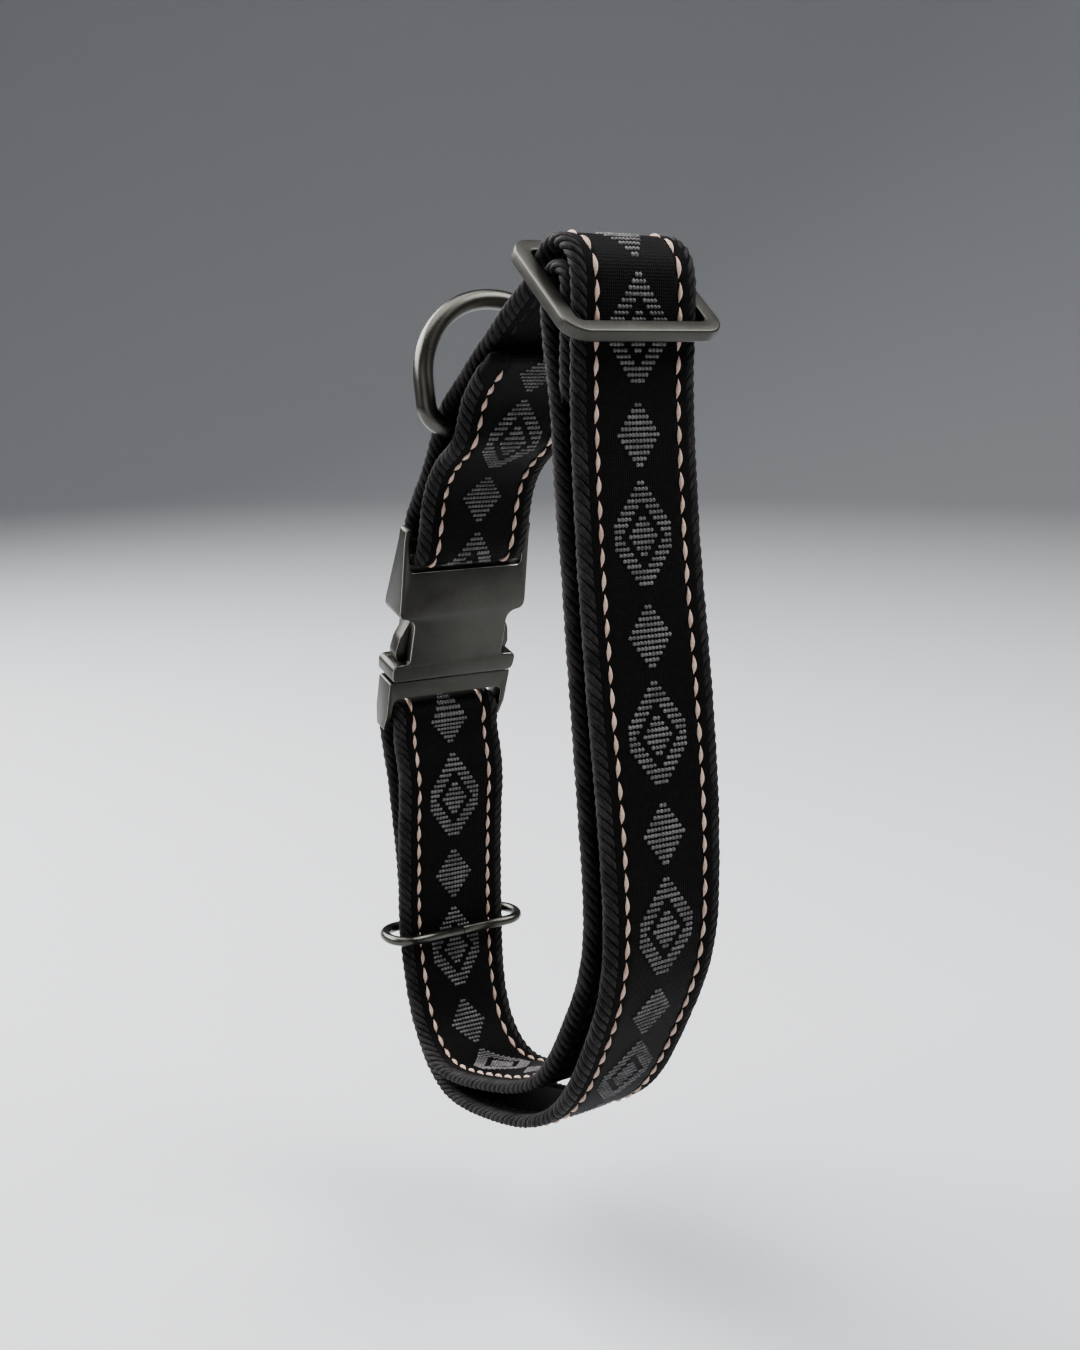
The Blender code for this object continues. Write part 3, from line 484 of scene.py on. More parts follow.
def repeat_on_line(tree, given, shape, material, placing):
    """Put the shape on every point, carry the copies onto the line, and give them their material."""
    source = node(tree, "GeometryNodeObjectInfo", {"Object": given[shape]})
    placed = node(tree, "GeometryNodeInstanceOnPoints", {"Instance": source.outputs["Geometry"], **placing})
    real = node(tree, "GeometryNodeRealizeInstances", {0: placed.outputs[0]})
    carried = node(tree, "GeometryNodeGroup", node_tree=CARRY)
    tree.links.new(given["Webbing line"], carried.inputs["Webbing line"])
    tree.links.new(real.outputs[0], carried.inputs["Flat"])
    smooth = node(tree, "GeometryNodeSetShadeSmooth", {0: carried.outputs[0]})
    done = node(tree, "GeometryNodeSetMaterial", {0: smooth.outputs[0], "Material": given[material]})
    node(tree, "NodeGroupOutput", {0: done.outputs[0]})
    return tree


def line_mesh():
    """The webbing's line as bare edges that remember which way is across and which way it faces."""
    mesh = bpy.data.meshes.new("webbing_line")
    mesh.from_pydata(MIDDLE.tolist(), [(i, i + 1) for i in range(len(MIDDLE) - 1)], [])
    for label, rows in (("across", ACROSS), ("facing", FACING)):
        layer = mesh.attributes.new(label, "FLOAT_VECTOR", "POINT")
        layer.data.foreach_set("vector", rows.astype(np.float32).ravel())
    return mesh


LINE_MESH = line_mesh()


def grow(name, tree, values):
    """Run a tree on the webbing's line and keep the result as a plain mesh."""
    item = add_piece(name, LINE_MESH.copy())
    step = item.modifiers.new(tree.name, "NODES")
    step.node_group = tree
    for socket in tree.interface.items_tree:
        if socket.in_out == "INPUT" and socket.name in values:
            step[socket.identifier] = values[socket.name]
    shape = item.evaluated_get(bpy.context.evaluated_depsgraph_get())
    mesh = bpy.data.meshes.new_from_object(shape)
    item.modifiers.remove(step)
    item.data = mesh
    mesh.name = name
    triangles = sum(len(face.vertices) - 2 for face in mesh.polygons)
    print(name, "has", triangles, "triangles")
    return item


def hidden_shape(name, points, faces):
    """A small mesh that a tree repeats. It is kept out of the scene."""
    mesh = bpy.data.meshes.new(name)
    mesh.from_pydata([tuple(p) for p in points], [], faces)
    outward(mesh)
    return bpy.data.objects.new(name, mesh)


# %% [markdown]
# Finishes come next, because each tree needs a material to hand out. The cloth is nearly black. Its
# middle is a satin band of fine warp threads, its borders are a coarser twill, and its back shows
# long ridges. The map on the strap says where each one lies.


# %% Helpers for finishes
def new_material(name):
    """A node material, its tree and its main shader."""
    material = bpy.data.materials.new(name)
    material.use_nodes = True
    return material, material.node_tree, material.node_tree.nodes["Principled BSDF"]


def between(tree, value, low, high):
    """A smooth step from 0 at low to 1 at high."""
    return node(tree, "ShaderNodeMapRange", {0: value, 1: low, 2: high},
                interpolation_type="SMOOTHSTEP").outputs[0]


def wave(tree, value, pitch):
    """A sine of the given pitch, from 0 to 1."""
    turned = maths(tree, "MULTIPLY", value, 2 * math.pi / pitch)
    return maths(tree, "MULTIPLY_ADD", maths(tree, "SINE", turned), 0.5, 0.5)


def colour_mix(tree, factor, first, second):
    """A mix of two colours by a factor."""
    made = node(tree, "ShaderNodeMix", {0: factor, 6: first, 7: second}, data_type="RGBA")
    return made.outputs[2]


def cloudy(tree, place, scale, detail, roughness=0.5):
    """A noise of this scale and detail, from 0 to 1."""
    return node(tree, "ShaderNodeTexNoise", {"Vector": place, "Scale": scale, "Detail": detail,
                                             "Roughness": roughness}).outputs[0]


def add_bump(tree, shader, height, distance, strength):
    """Raise the surface where the height is high, by up to the distance."""
    bump = node(tree, "ShaderNodeBump", {"Height": height, "Distance": distance, "Strength": strength})
    tree.links.new(bump.outputs[0], shader.inputs["Normal"])


# %% The webbing's weave
# Where the satin ends, the borders start and the back starts, in millimetres from a side's middle.
SATIN_END = (7.3, 7.8)
BORDER_START = (8.5, 8.9)
BACK_EDGE = (9.4, 8.8)
# Pitch of the threads in each part, in millimetres.
WARP_PITCH, WEFT_PITCH, RIDGE_PITCH, TWILL_PITCH = 0.42, 0.52, 1.25, 0.8
WEAVE_DEPTH = 0.09 * MM
BORDER_BLACK = (0.0026, 0.0021, 0.0021, 1.0)
SATIN_BLACK = (0.0009, 0.0007, 0.0007, 1.0)
BACK_BLACK = (0.0026, 0.0023, 0.0024, 1.0)
FUZZ_GREY = (0.0050, 0.0042, 0.0042, 1.0)


def webbing_material():
    """Satin middle, twill borders and ridged back, all read from the weave map in millimetres."""
    material, tree, shader = new_material("webbing_weave")
    weave = node(tree, "ShaderNodeUVMap", uv_map="weave").outputs[0]
    split = node(tree, "ShaderNodeSeparateXYZ", {0: weave}).outputs
    along = maths(tree, "MULTIPLY", split["X"], 10.0)
    turned = maths(tree, "MULTIPLY", split["Y"], 10.0)
    girth = GIRTH / MM
    far = maths(tree, "MINIMUM", maths(tree, "ABSOLUTE", turned), maths(tree, "SUBTRACT", girth, turned))
    noise = cloudy(tree, weave, 9.0, 3.0)
    drift = maths(tree, "MULTIPLY_ADD", noise, 0.5, -0.25)
    satin = maths(tree, "SUBTRACT", 1.0, between(tree, far, *SATIN_END))
    back = between(tree, far, girth / 2 - BACK_EDGE[0], girth / 2 - BACK_EDGE[1])
    border = maths(tree, "SUBTRACT", between(tree, far, *BORDER_START), back)
    warp = wave(tree, maths(tree, "ADD", turned, maths(tree, "MULTIPLY", drift, 0.25)), WARP_PITCH)
    weft = wave(tree, maths(tree, "ADD", along, drift), WEFT_PITCH)
    ridges = wave(tree, turned, RIDGE_PITCH)
    slant = maths(tree, "MULTIPLY_ADD", far, 3.0, along)
    twill = wave(tree, maths(tree, "ADD", slant, drift), TWILL_PITCH)
    satin_relief = maths(tree, "ADD", maths(tree, "MULTIPLY", warp, 0.55),
                         maths(tree, "MULTIPLY", weft, 0.35))
    relief = maths(tree, "MULTIPLY", satin_relief, maths(tree, "MAXIMUM", satin, 0.5))
    relief = maths(tree, "MULTIPLY_ADD", maths(tree, "MULTIPLY", ridges, 1.6), back, relief)
    relief = maths(tree, "MULTIPLY_ADD", maths(tree, "MULTIPLY", twill, 1.4), border, relief)
    relief = maths(tree, "MULTIPLY_ADD", noise, 0.4, relief)
    add_bump(tree, shader, relief, WEAVE_DEPTH, 1.0)
    shade = colour_mix(tree, satin, BORDER_BLACK, SATIN_BLACK)
    shade = colour_mix(tree, back, shade, BACK_BLACK)
    fuzz = maths(tree, "MULTIPLY", between(tree, noise, 0.45, 0.75), 0.3)
    shade = colour_mix(tree, fuzz, shade, FUZZ_GREY)
    tree.links.new(shade, shader.inputs["Base Color"])
    rough = maths(tree, "MULTIPLY_ADD", satin, -0.15, 0.75)
    tree.links.new(rough, shader.inputs["Roughness"])
    shader.inputs["Specular IOR Level"].default_value = 0.045
    return material


# %% Yarn and thread
def yarn_material(name, dark, light, grain, rough, shine):
    """Spun yarn: fine twisted fibres as streaks of light and dark, with a faint shine."""
    material, tree, shader = new_material(name)
    spot = node(tree, "ShaderNodeTexCoord").outputs["Object"]
    noise = cloudy(tree, spot, grain, 4.0, 0.65)
    broad = cloudy(tree, spot, grain * 0.12, 2.0)
    blend = maths(tree, "MULTIPLY_ADD", broad, 0.5, maths(tree, "MULTIPLY", noise, 0.7))
    shade = colour_mix(tree, between(tree, blend, 0.4, 0.8), dark, light)
    tree.links.new(shade, shader.inputs["Base Color"])
    add_bump(tree, shader, noise, 0.05 * MM, 0.8)
    shader.inputs["Roughness"].default_value = rough
    shader.inputs["Specular IOR Level"].default_value = shine
    return material


WEBBING = webbing_material()
BORDER_YARN = yarn_material("border_yarn", (0.0005, 0.0004, 0.0004, 1), (0.015, 0.0130, 0.0132, 1),
                            grain=1500.0, rough=0.65, shine=0.09)
MOTIF_YARN = yarn_material("motif_yarn", (0.040, 0.0375, 0.0385, 1), (0.130, 0.123, 0.125, 1),
                           grain=2400.0, rough=0.65, shine=0.15)
PINK_THREAD = yarn_material("pink_thread", (0.29, 0.190, 0.145, 1), (0.52, 0.38, 0.305, 1),
                            grain=2200.0, rough=0.55, shine=0.20)
DARK_THREAD = yarn_material("dark_thread", (0.003, 0.003, 0.0033, 1), (0.009, 0.009, 0.0095, 1),
                            grain=2200.0, rough=0.7, shine=0.10)
for finish in (WEBBING, BORDER_YARN, MOTIF_YARN, PINK_THREAD, DARK_THREAD):
    print("cloth finish:", finish.name)

# %% [markdown]
# Two lines of lockstitch hold the layers of the webbing together. On the outside the thread is a
# dusty pink, and each stitch is a plump spindle that dives into the cloth at both ends. The bobbin
# thread on the back is black. The spindle is modelled once, and the tree repeats it by the pitch.

# %% Stitches
STITCH_LONG = 3.4 * MM
STITCH_WIDE = 0.90 * MM
FACE_STITCH_HEIGHT = 1.36 * MM
BACK_STITCH_HEIGHT = 1.08 * MM
# Turns in radians: the lean that every stitch has, and how far one may differ in lean and in roll.
STITCH_LEAN, STITCH_UNEVEN, STITCH_ROLL = 0.07, 0.05, 0.10


def spindle(name, length, width):
    """A two-ply thread between two holes: thick in the middle, twisted, pointed at the ends."""
    rings, sides = 9, 8
    points = []
    for i in range(rings):
        share = i / (rings - 1)
        swell = 0.07 + 0.93 * math.sin(math.pi * share) ** 1.15
        for k in range(sides):
            angle = 2 * math.pi * k / sides
            ply = 1.0 + 0.10 * math.cos(2 * angle - 5.0 * share)
            radius = width / 2 * swell * ply
            dive = -0.30 * width * (2 * abs(share - 0.5)) ** 3
            points.append(((share - 0.5) * length, radius * math.cos(angle),
                           0.62 * radius * math.sin(angle) + dive))
    return hidden_shape(name, points, tube_faces(rings, sides))


def stitch_tree():
    """Two rows of stitches, one near each edge, each leaning a little and none quite alike."""
    tree, given = tree_with("lockstitch", (
        ("Pitch", "Float", STITCH_PITCH), ("From middle", "Float", STITCH_LINE),
        ("Height", "Float", FACE_STITCH_HEIGHT), ("Side", "Float", 1.0), ("Lean", "Float", STITCH_LEAN),
        ("Stitch", "Object", None), ("Thread", "Material", None)))
    length = line_length(tree, given)[0]
    count = maths(tree, "FLOOR", maths(tree, "DIVIDE", length, given["Pitch"]))
    first = maths(tree, "MULTIPLY", given["Pitch"], 0.5)
    height = maths(tree, "MULTIPLY", given["Height"], given["Side"])
    joined = node(tree, "GeometryNodeJoinGeometry")
    for side in (1.0, -1.0):
        start = vector(tree, first, maths(tree, "MULTIPLY", given["From middle"], side), height)
        tree.links.new(point_row(tree, count, given["Pitch"], start), joined.inputs[0])
    over = maths(tree, "MULTIPLY", maths(tree, "SUBTRACT", 1.0, given["Side"]), math.pi / 2)
    low, high = (vector(tree, maths(tree, how, over, STITCH_ROLL), 0.0,
                        maths(tree, how, given["Lean"], STITCH_UNEVEN)) for how in ("SUBTRACT", "ADD"))
    turn = uneven(tree, low, high, 7)
    size = uneven(tree, (0.94, 0.88, 0.9), (1.03, 1.1, 1.1), 11)
    placing = {"Points": joined.outputs[0], "Rotation": turn, "Scale": size}
    return repeat_on_line(tree, given, "Stitch", "Thread", placing)


STITCHES = stitch_tree()
stitch_shape = spindle("stitch_shape", STITCH_LONG, STITCH_WIDE)
face_stitches = grow("face_stitches", STITCHES, {"Stitch": stitch_shape, "Thread": PINK_THREAD,
                                                 "Height": FACE_STITCH_HEIGHT})
bobbin_shape = spindle("bobbin_shape", STITCH_LONG * 0.94, STITCH_WIDE * 0.7)
back_stitches = grow("back_stitches", STITCHES, {"Stitch": bobbin_shape, "Thread": DARK_THREAD,
                                                 "Height": BACK_STITCH_HEIGHT, "Side": -1.0})

# %% [markdown]
# Outside the stitches run a few fine ridges, and then coarse twill ribs wrap slantwise round the
# edge, which is what makes the strap's outline knobbly. A rib is modelled once on the section of
# the strap and repeated along both edges, mirrored, so that the two borders lean towards each other.

# %% Ribs of the twill borders
RIB_PITCH = 1.9 * MM
RIB_HALF = 0.93 * MM
RIB_HIGH = 0.30 * MM
RIB_SLOPE = 1.1
RIB_START = 10.2 * MM
RIB_FROM_END = 2.6 * MM
RIB_RINGS = 13
PROBE = 0.2 * MM
# Cut across, a rib is made of three yarns side by side: how far along, and how high.
RIB_PROFILE = ((-1.0, -0.6), (-0.80, 0.55), (-0.42, 0.60), (-0.28, 0.85), (0.20, 1.0), (0.34, 0.70),
               (0.48, 0.85), (0.84, 0.60), (1.0, -0.6))


def on_section(run):
    """The point of the closed section that lies this far round it, as (across, height)."""
    return np.array([np.interp(run, ROUND, np.append(column, column[0])) for column in SECTION.T])


def border_rib(name, side):
    """One rib that runs slantwise round an edge, from the face's ridges to the back's."""
    quarter = GIRTH / 4
    middle = len(HALF_SECTION) - 1
    face_round = ROUND[middle:middle + len(HALF_SECTION)]
    start = float(np.interp(RIB_START, HALF_SECTION[:, 0], face_round))
    points = []
    for i in range(RIB_RINGS):
        share = i / (RIB_RINGS - 1)
        run = start + share * 2 * (quarter - start)
        ahead = on_section(run + PROBE) - on_section(run - PROBE)
        ahead /= np.linalg.norm(ahead)
        out = np.array((-ahead[1], ahead[0]))
        shift = RIB_SLOPE * (run - quarter)
        bead = 1.0 if i % 2 else 0.78
        swell = 0.25 + 0.75 * bead * max(math.sin(math.pi * share), 0.0) ** 0.5
        for along, up in RIB_PROFILE:
            v, h = on_section(run) + out * up * RIB_HIGH * (swell if up > 0 else 1.0)
            points.append((shift + along * RIB_HALF * (0.7 + 0.3 * swell), side * v, h))
    return hidden_shape(name, points, tube_faces(RIB_RINGS, len(RIB_PROFILE)))


def border_tree():
    """One row of ribs from end to end."""
    tree, given = tree_with("twill_border", (
        ("Pitch", "Float", RIB_PITCH), ("From end", "Float", RIB_FROM_END), ("Rib", "Object", None),
        ("Yarn", "Material", None)))
    length = line_length(tree, given)[0]
    run = maths(tree, "SUBTRACT", length, maths(tree, "MULTIPLY", given["From end"], 2.0))
    count = maths(tree, "FLOOR", maths(tree, "DIVIDE", run, given["Pitch"]))
    row = point_row(tree, count, given["Pitch"], vector(tree, given["From end"]))
    size = uneven(tree, (0.92, 0.998, 0.98), (1.06, 1.006, 1.03), 3)
    return repeat_on_line(tree, given, "Rib", "Yarn", {"Points": row, "Scale": size})


BORDER = border_tree()
border_pieces = []
for label, side in (("left", -1), ("right", 1)):
    rib = border_rib("rib_" + label, side)
    border_pieces.append(grow("twill_border_" + label, BORDER, {"Rib": rib, "Yarn": BORDER_YARN}))

# %% [markdown]
# The middle band carries a woven figure: grey weft threads float over the dark satin in rows of
# little knots. Here the figure is a plain geometric one: a large diamond ring round a solid heart,
# and then a smaller solid diamond. A grid of points stands for every place where a float could be.
# Counting rows and columns from a diamond's middle says which of them belong to it, and a knot is
# put there.

# %% The woven figure
KNOT_ROW = 1.0 * MM
KNOT_STEP = 0.72 * MM
KNOT_COLUMNS = 16
KNOT_HALF = (0.41 * MM, 0.43 * MM, 0.30 * MM)
KNOT_HEIGHT = 1.22 * MM
# The figure repeats after so many rows. Each diamond has its middle row and the sizes it fills.
REPEAT = 34.0
DIAMONDS = ((9.0, ((-1.0, 3.5), (5.5, 9.5))), (26.0, ((-1.0, 5.5),)))


def knot_shape():
    """A low rounded lump of yarn with twenty faces."""
    builder = bmesh.new()
    bmesh.ops.create_icosphere(builder, subdivisions=1, radius=1.0)
    bmesh.ops.scale(builder, vec=KNOT_HALF, verts=builder.verts)
    mesh = bpy.data.meshes.new("knot_shape")
    builder.to_mesh(mesh)
    builder.free()
    return bpy.data.objects.new("knot_shape", mesh)


def inside(tree, value, low, high):
    """1 where the value lies between low and high, else 0."""
    above = maths(tree, "GREATER_THAN", value, low)
    return maths(tree, "MULTIPLY", above, maths(tree, "LESS_THAN", value, high))


def figure_field(tree, spot):
    """Which knots show, by rows along and columns across from the middle of each diamond."""
    row = maths(tree, "FLOORED_MODULO", maths(tree, "DIVIDE", spot["X"], KNOT_ROW), REPEAT)
    column = maths(tree, "FLOOR", maths(tree, "ABSOLUTE", maths(tree, "DIVIDE", spot["Y"], KNOT_STEP)))
    figure = None
    for middle, rings in DIAMONDS:
        away = maths(tree, "ABSOLUTE", maths(tree, "SUBTRACT", row, middle))
        size = maths(tree, "ADD", maths(tree, "ROUND", away), column)
        for low, high in rings:
            ring = inside(tree, size, low, high)
            figure = ring if figure is None else maths(tree, "MAXIMUM", figure, ring)
    return figure


def figure_tree():
    """A grid of possible floats, thinned to the figure."""
    tree, given = tree_with("woven_figure", (
        ("Row pitch", "Float", KNOT_ROW), ("Knot pitch", "Float", KNOT_STEP),
        ("Columns", "Int", KNOT_COLUMNS), ("Height", "Float", KNOT_HEIGHT), ("Knot", "Object", None),
        ("Yarn", "Material", None)))
    length = line_length(tree, given)[0]
    count = maths(tree, "FLOOR", maths(tree, "DIVIDE", length, given["Row pitch"]))
    long = maths(tree, "MULTIPLY", maths(tree, "SUBTRACT", count, 1.0), given["Row pitch"])
    wide = maths(tree, "MULTIPLY", maths(tree, "SUBTRACT", given["Columns"], 1.0), given["Knot pitch"])
    grid = node(tree, "GeometryNodeMeshGrid", {"Size X": long, "Size Y": wide, "Vertices X": count,
                                               "Vertices Y": given["Columns"]})
    shift = vector(tree, maths(tree, "MULTIPLY", length, 0.5), 0.0, given["Height"])
    moved = node(tree, "GeometryNodeSetPosition", {"Geometry": grid.outputs[0], "Offset": shift})
    size = uneven(tree, (0.88, 0.9, 0.8), (1.08, 1.06, 1.15), 5)
    placing = {"Points": moved.outputs[0], "Selection": figure_field(tree, flat_place(tree)), "Scale": size}
    return repeat_on_line(tree, given, "Knot", "Yarn", placing)


woven_figure = grow("woven_figure", figure_tree(), {"Knot": knot_shape(), "Yarn": MOTIF_YARN})

# %% [markdown]
# The metal is a matt gunmetal, blasted with fine beads before it was plated. It has a soft, broad
# shine and a grain so fine that it shows only close up. Its edges carry a painted highlight: a much
# brighter copy of the metal.


# %% Finishes of the metal
def metal_material(name, dark, light, rough):
    """Blasted and plated metal: fine grain, faint clouds, broad shine."""
    material, tree, shader = new_material(name)
    spot = node(tree, "ShaderNodeTexCoord").outputs["Object"]
    grain = cloudy(tree, spot, 3200.0, 2.0)
    cloud = cloudy(tree, spot, 160.0, 4.0)
    tone = maths(tree, "MULTIPLY_ADD", grain, 0.45, maths(tree, "MULTIPLY", cloud, 0.55))
    shade = colour_mix(tree, between(tree, tone, 0.3, 0.7), dark, light)
    tree.links.new(shade, shader.inputs["Base Color"])
    tree.links.new(maths(tree, "MULTIPLY_ADD", cloud, 0.14, rough - 0.07), shader.inputs["Roughness"])
    add_bump(tree, shader, grain, 0.012 * MM, 0.7)
    shader.inputs["Metallic"].default_value = 1.0
    return material


GUNMETAL = metal_material("gunmetal", (0.034, 0.033, 0.029, 1), (0.047, 0.046, 0.040, 1), 0.38)
# Painted highlight: a copy of the gunmetal about ten times brighter, for the bevelled edges where they
# would catch the light.
EDGE_HIGHLIGHT_METAL = metal_material("gunmetal_painted_edge_highlight", (0.34, 0.33, 0.30, 1), (0.52, 0.50, 0.47, 1), 0.36)
WIRE_METAL = metal_material("gunmetal_wire", (0.046, 0.045, 0.039, 1), (0.066, 0.064, 0.056, 1), 0.28)
print("metal finishes:", GUNMETAL.name, EDGE_HIGHLIGHT_METAL.name, WIRE_METAL.name)

# %% [markdown]
# The slider, the leash ring and the keeper are bars and wires bent to an outline. Each is made by
# carrying a section round its outline, which gives even, rounded metal with no poles.


# %% Bars and wires
def rounded_outline(corners, steps):
    """Points of a closed outline whose corners (x, y, radius) are rounded with arcs."""
    points = []
    count = len(corners)
    for i, (x, y, radius) in enumerate(corners):
        here = Vector((x, y))
        before = Vector(corners[i - 1][:2]) - here
        after = Vector(corners[(i + 1) % count][:2]) - here
        half = before.angle(after) / 2
        if radius <= 0 or half > math.radians(89.0):
            points.append(here)
            continue
        inward = (before.normalized() + after.normalized()).normalized()
        middle = here + inward * (radius / math.sin(half))
        start = here + before.normalized() * (radius / math.tan(half)) - middle
        end = here + after.normalized() * (radius / math.tan(half)) - middle
        swing = start.angle_signed(end)
        for step in range(steps + 1):
            points.append(middle + Matrix.Rotation(-swing * step / steps, 2) @ start)
    return points


def swept(name, path, section, place, closed=True):
    """A section carried round a flat outline, put in its place in the frame."""
    count = len(path)
    size = len(section)
    points = []
    for i, here in enumerate(path):
        before = path[i - 1] if closed or i else here
        after = path[(i + 1) % count] if closed or i < count - 1 else here
        along = (after - before).normalized()
        side = Vector((along.y, -along.x))
        points += [place @ Vector((here.x + side.x * u, here.y + side.y * u, v)) for u, v in section]
    if closed:
        faces = [(i * size + k, i * size + (k + 1) % size, (i + 1) % count * size + (k + 1) % size,
                  (i + 1) % count * size + k) for i in range(count) for k in range(size)]
    else:
        faces = tube_faces(count, size)
    mesh = bpy.data.meshes.new(name)
    mesh.from_pydata(points, [], faces)
    outward(mesh)
    mesh.shade_smooth()
    return mesh


def flat_frame(origin, across, upward):
    """A frame whose X and Y lie in a piece's own plane."""
    across, upward = Vector(across), Vector(upward)
    turn = Matrix((across, upward, across.cross(upward))).transposed().to_4x4()
    return Matrix.Translation((origin[0], origin[2], origin[1])) @ turn


def circle(radius, sides=24):
    """Points evenly round a circle."""
    return [(radius * math.cos(2 * math.pi * k / sides), radius * math.sin(2 * math.pi * k / sides))
            for k in range(sides)]


def bar_section(width, thickness):
    """The section of a slider's bar, with its edges rounded."""
    half, deep = width / 2, thickness / 2
    corners = [(u, v, SLIDER_EDGE) for u, v in ((-half, -deep), (half, -deep), (half, deep), (-half, deep))]
    return [tuple(p) for p in rounded_outline(corners, 4)]


def united(name, first, second):
    """The two meshes as one closed solid."""
    base = add_piece(name, first)
    tool = add_piece(name + "_tool", second)
    step = base.modifiers.new("union", "BOOLEAN")
    step.operation = "UNION"
    step.object = tool
    mesh = bpy.data.meshes.new_from_object(base.evaluated_get(bpy.context.evaluated_depsgraph_get()))
    bpy.data.objects.remove(tool)
    base.modifiers.remove(step)
    base.data = mesh
    mesh.shade_smooth()
    mesh.set_sharp_from_angle(angle=math.radians(40.0))
    return base


# %% The slider
def make_slider():
    """A flat ring with a middle bar, on the slope that the webbing gives it."""
    half = SLOT_HALF + SLIDER_WIDE / 2
    bend = SLIDER_CORNER - SLIDER_WIDE / 2
    outline = rounded_outline([(-half, -NEAR_BAR, bend), (half, -NEAR_BAR, bend),
                               (half, FAR_BAR, bend), (-half, FAR_BAR, bend)], 10)
    place = flat_frame((*MIDDLE_BAR, 0.0), (0.0, -1.0, 0.0), (SLIDER_UP[0], 0.0, SLIDER_UP[1]))
    ring = swept("slider_ring", outline, bar_section(SLIDER_WIDE, SLIDER_THICK), place)
    bar = swept("slider_bar", [Vector((-half, 0.0)), Vector((half, 0.0))],
                bar_section(SLIDER_MIDDLE, SLIDER_MIDDLE_THICK), place, closed=False)
    slider = united("slider", ring, bar)
    slider.data.materials.clear()
    slider.data.materials.append(GUNMETAL)
    return slider


slider = make_slider()
print("slider has", len(slider.data.polygons), "faces")

# %% The leash ring and the keeper
# The bow's corners and the keeper's ends are this near to full half circles.
BOW_SHARE = 0.98
END_ROUND = 0.95
CLOSEST_POINTS = 0.3 * MM


def make_leash_ring():
    """Round wire: a straight bar in the fold and a round bow."""
    half = WEB_WIDTH / 2 + RING_PLAY + RING_WIRE / 2
    bow = half * BOW_SHARE
    outline = rounded_outline([(-half, 0.0, RING_CORNER), (half, 0.0, RING_CORNER),
                               (half, RING_DEPTH, bow), (-half, RING_DEPTH, bow)], 20)
    points = []
    for spot in outline:
        if not points or (points[-1] - spot).length > CLOSEST_POINTS:
            points.append(spot)
    lean = direction(RING_LEAN)
    place = flat_frame((*RING_BAR, 0.0), (0.0, -1.0, 0.0), (lean[0], 0.0, lean[1]))
    wire = swept("leash_ring_wire", points, circle(RING_WIRE / 2), place)
    return add_piece("leash_ring_wire", wire, WIRE_METAL)


def make_keeper():
    """A wire loop, butted shut, round both layers of the back strand."""
    inner = loop_layer(inner_offset)[KEEPER_ROW]
    outer = loop_layer(outer_offset)[KEEPER_ROW]
    deep = abs(inner[0] - outer[0]) / 2 + HALF_WEB + 2 * TOUCH_GAP + KEEPER_WIRE / 2
    wide = WEB_WIDTH / 2 + KEEPER_PLAY + KEEPER_WIRE / 2
    bend = deep * END_ROUND
    outline = rounded_outline([(0.0, deep, 0.0), (-wide, deep, bend), (-wide, -deep, bend),
                               (wide, -deep, bend), (wide, deep, bend)], 12)
    points = [Vector((-TOUCH_GAP / 2, deep))] + outline[1:] + [Vector((TOUCH_GAP / 2, deep))]
    middle = ((inner[0] + outer[0]) / 2, inner[1], (inner[2] + outer[2]) / 2)
    place = flat_frame(middle, (0.0, 1.0, 0.0), (1.0, 0.0, 0.0))
    wire = swept("keeper_wire", points, circle(KEEPER_WIRE / 2, 18), place, closed=False)
    return add_piece("keeper_wire", wire, WIRE_METAL)


leash_ring_wire = make_leash_ring()
keeper_wire = make_keeper()
for piece in (slider, leash_ring_wire, keeper_wire):
    print(piece.name, [round(v / MM, 1) for v in piece.dimensions], "mm")

# %% [markdown]
# The buckle is cast metal. Its imported solids already have the right shape, so a merged copy of each
# is given soft edges by a Bevel, and the bevel's faces get the brighter metal as a painted highlight where
# real cast edges catch the light.


# %% The buckle
MERGE_DISTANCE = 0.004 * MM
FLAT_ANGLE = math.radians(1.5)
EDGE_ANGLE = math.radians(24.0)


def dressed_copy(name, source, edge):
    """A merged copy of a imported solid, its flat faces joined and its edges softened."""
    builder = bmesh.new()
    builder.from_mesh(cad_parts[source].data)
    bmesh.ops.remove_doubles(builder, verts=builder.verts, dist=MERGE_DISTANCE)
    bmesh.ops.dissolve_limit(builder, angle_limit=FLAT_ANGLE, verts=builder.verts, edges=builder.edges)
    mesh = bpy.data.meshes.new(name)
    builder.to_mesh(mesh)
    builder.free()
    piece = add_piece(name, mesh, GUNMETAL)
    mesh.materials.append(EDGE_HIGHLIGHT_METAL)
    mesh.shade_smooth()
    rim = piece.modifiers.new("painted_highlight_edges", "BEVEL")
    rim.width = edge
    rim.segments = 2
    rim.limit_method = "ANGLE"
    rim.angle_limit = EDGE_ANGLE
    # The bevel's faces take the second material: the painted edge highlight.
    rim.material = 1
    rim.harden_normals = True
    finished = bpy.data.meshes.new_from_object(piece.evaluated_get(bpy.context.evaluated_depsgraph_get()))
    piece.modifiers.remove(rim)
    piece.data = finished
    return piece


buckle_pieces = {}
for source, edge in (("buckle_socket", 0.22), ("buckle_insert", 0.2),
                     ("release_arm_left", 0.15), ("release_arm_right", 0.15)):
    buckle_pieces[source] = dressed_copy(source + "_cast", source, edge * MM)
    print(source, len(buckle_pieces[source].data.polygons), "faces")
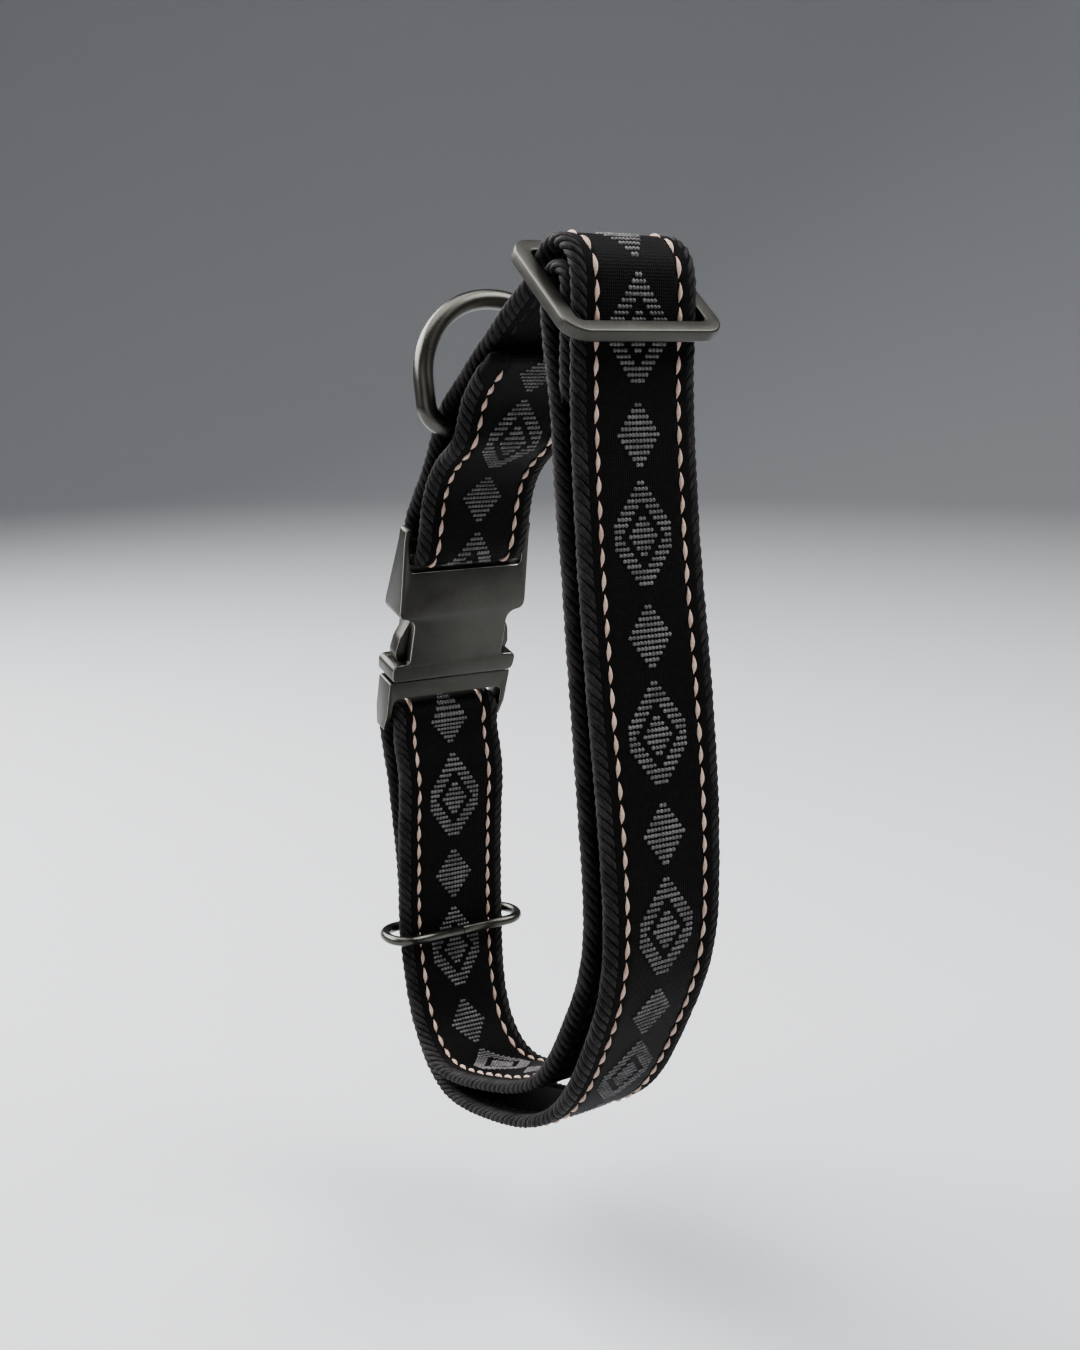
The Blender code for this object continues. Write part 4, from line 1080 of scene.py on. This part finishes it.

# %% [markdown]
# Every piece now rides on a imported body, and the imported solid that it stands for is hidden.
# Everything sewn or woven into the strap rides on the same body as the strap.

# %% Riding and replacing
strap = add_piece("strap_cloth", strap_mesh, WEBBING)
cloth_details = [face_stitches, back_stitches, *border_pieces, woven_figure]
for piece in [strap, slider, keeper_wire, buckle_pieces["buckle_socket"], buckle_pieces["buckle_insert"]]:
    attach(piece, "collar")
for piece in cloth_details:
    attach(piece, "collar")
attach(leash_ring_wire, "leash_ring")
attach(buckle_pieces["release_arm_left"], "arm_left")
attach(buckle_pieces["release_arm_right"], "arm_right")
for piece, source, slot in (
        (strap, "strap", "strap_webbing"), (slider, "slider_frame", "slider_metal"),
        (leash_ring_wire, "d_ring", "ring_metal"), (keeper_wire, "keeper_ring", "keeper_metal"),
        (buckle_pieces["buckle_socket"], "buckle_socket", "socket_metal"),
        (buckle_pieces["buckle_insert"], "buckle_insert", "insert_metal"),
        (buckle_pieces["release_arm_left"], "release_arm_left", "release_arm_left_metal"),
        (buckle_pieces["release_arm_right"], "release_arm_right", "release_arm_right_metal")):
    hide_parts(source)
print("cloth declared:", round(WEB_WIDTH / MM), "by", round(WEB_LENGTH / MM), "mm")

# %% [markdown]
# The camera stands where the photographer's did, found from the collar's own width and outline.
# The light is that of a small studio: broad soft lights on each side, from above and from behind,
# a weak one in front, and a pale round backdrop that closes the view from every side.

# %% Camera
CAMERA_LENS = 41.14
CAMERA_PLACE = (0.227, -0.1526, -0.003)
# The camera's right, its up and its backward direction.
CAMERA_AXES = ((0.53107, 0.84733, 0.0), (-0.17804, 0.11159, 0.97767), (0.82841, -0.51921, 0.21012))
camera_data = bpy.data.cameras.new("camera")
camera_data.sensor_fit = "VERTICAL"
camera_data.sensor_height = 36.0
camera_data.lens = CAMERA_LENS
camera = bpy.data.objects.new("camera", camera_data)
bpy.context.scene.collection.objects.link(camera)
camera.matrix_world = Matrix.Translation(CAMERA_PLACE) @ Matrix(CAMERA_AXES).transposed().to_4x4()
bpy.context.scene.camera = camera
print("camera", CAMERA_LENS, "mm lens at", CAMERA_PLACE)

# %% Backdrop
FLOOR_LEVEL = -0.186
FLOOR_RADIUS = 1.6
WALL_BEND = 0.9
WALL_TOP = 2.6
BACKDROP_SIDES = 96
BACKDROP_GREY = (0.46, 0.47, 0.49, 1.0)


def make_backdrop():
    """A round floor whose rim curves up into a wall."""
    profile = [(0.25 * FLOOR_RADIUS, 0.0), (FLOOR_RADIUS, 0.0)]
    profile += [(FLOOR_RADIUS + WALL_BEND * math.sin(a), WALL_BEND * (1 - math.cos(a)))
                for a in np.linspace(0.1, math.pi / 2, 12)]
    profile.append((FLOOR_RADIUS + WALL_BEND, WALL_TOP))
    points = [(0.0, 0.0, FLOOR_LEVEL)]
    for radius, height in profile:
        points += [(x, y, FLOOR_LEVEL + height) for x, y in circle(radius, BACKDROP_SIDES)]
    faces = [(0, 1 + k, 1 + (k + 1) % BACKDROP_SIDES) for k in range(BACKDROP_SIDES)]
    for i in range(len(profile) - 1):
        faces += ring_faces(1 + i * BACKDROP_SIDES, 1 + (i + 1) * BACKDROP_SIDES, BACKDROP_SIDES)
    mesh = bpy.data.meshes.new("backdrop")
    mesh.from_pydata(points, [], faces)
    mesh.shade_smooth()
    material, _, shader = new_material("pale_backdrop")
    shader.inputs["Base Color"].default_value = BACKDROP_GREY
    shader.inputs["Roughness"].default_value = 0.9
    return add_piece("backdrop", mesh, material)


backdrop = make_backdrop()
print("backdrop", [round(v, 2) for v in backdrop.dimensions], "m")

# %% Light
COLLAR_MIDDLE = (-0.02, 0.0, -0.07)
# Each light's name, its place, the width of its square in metres and its power in watts.
LIGHTS = (("light_above", (-0.05, -0.05, 0.75), 0.7, 10.0), ("light_back", (-0.62, -0.32, 0.46), 0.6, 20.0),
          ("light_left", (-0.30, -0.62, 0.42), 0.5, 12.0), ("light_right", (0.30, 0.48, 0.60), 0.5, 11.0),
          ("light_front", (0.62, -0.45, 0.15), 0.5, 1.0))
for name, place, size, watts in LIGHTS:
    light = bpy.data.lights.new(name, "AREA")
    light.shape = "SQUARE"
    light.size = size
    light.energy = watts
    lamp = bpy.data.objects.new(name, light)
    bpy.context.scene.collection.objects.link(lamp)
    lamp.location = place
    lamp.rotation_euler = (Vector(COLLAR_MIDDLE) - Vector(place)).to_track_quat("-Z", "Y").to_euler()
    print(name, watts, "W")
world = bpy.data.worlds.new("studio")
world.use_nodes = True
world.node_tree.nodes["Background"].inputs["Color"].default_value = (0.75, 0.77, 0.80, 1.0)
world.node_tree.nodes["Background"].inputs["Strength"].default_value = 0.14
bpy.context.scene.world = world
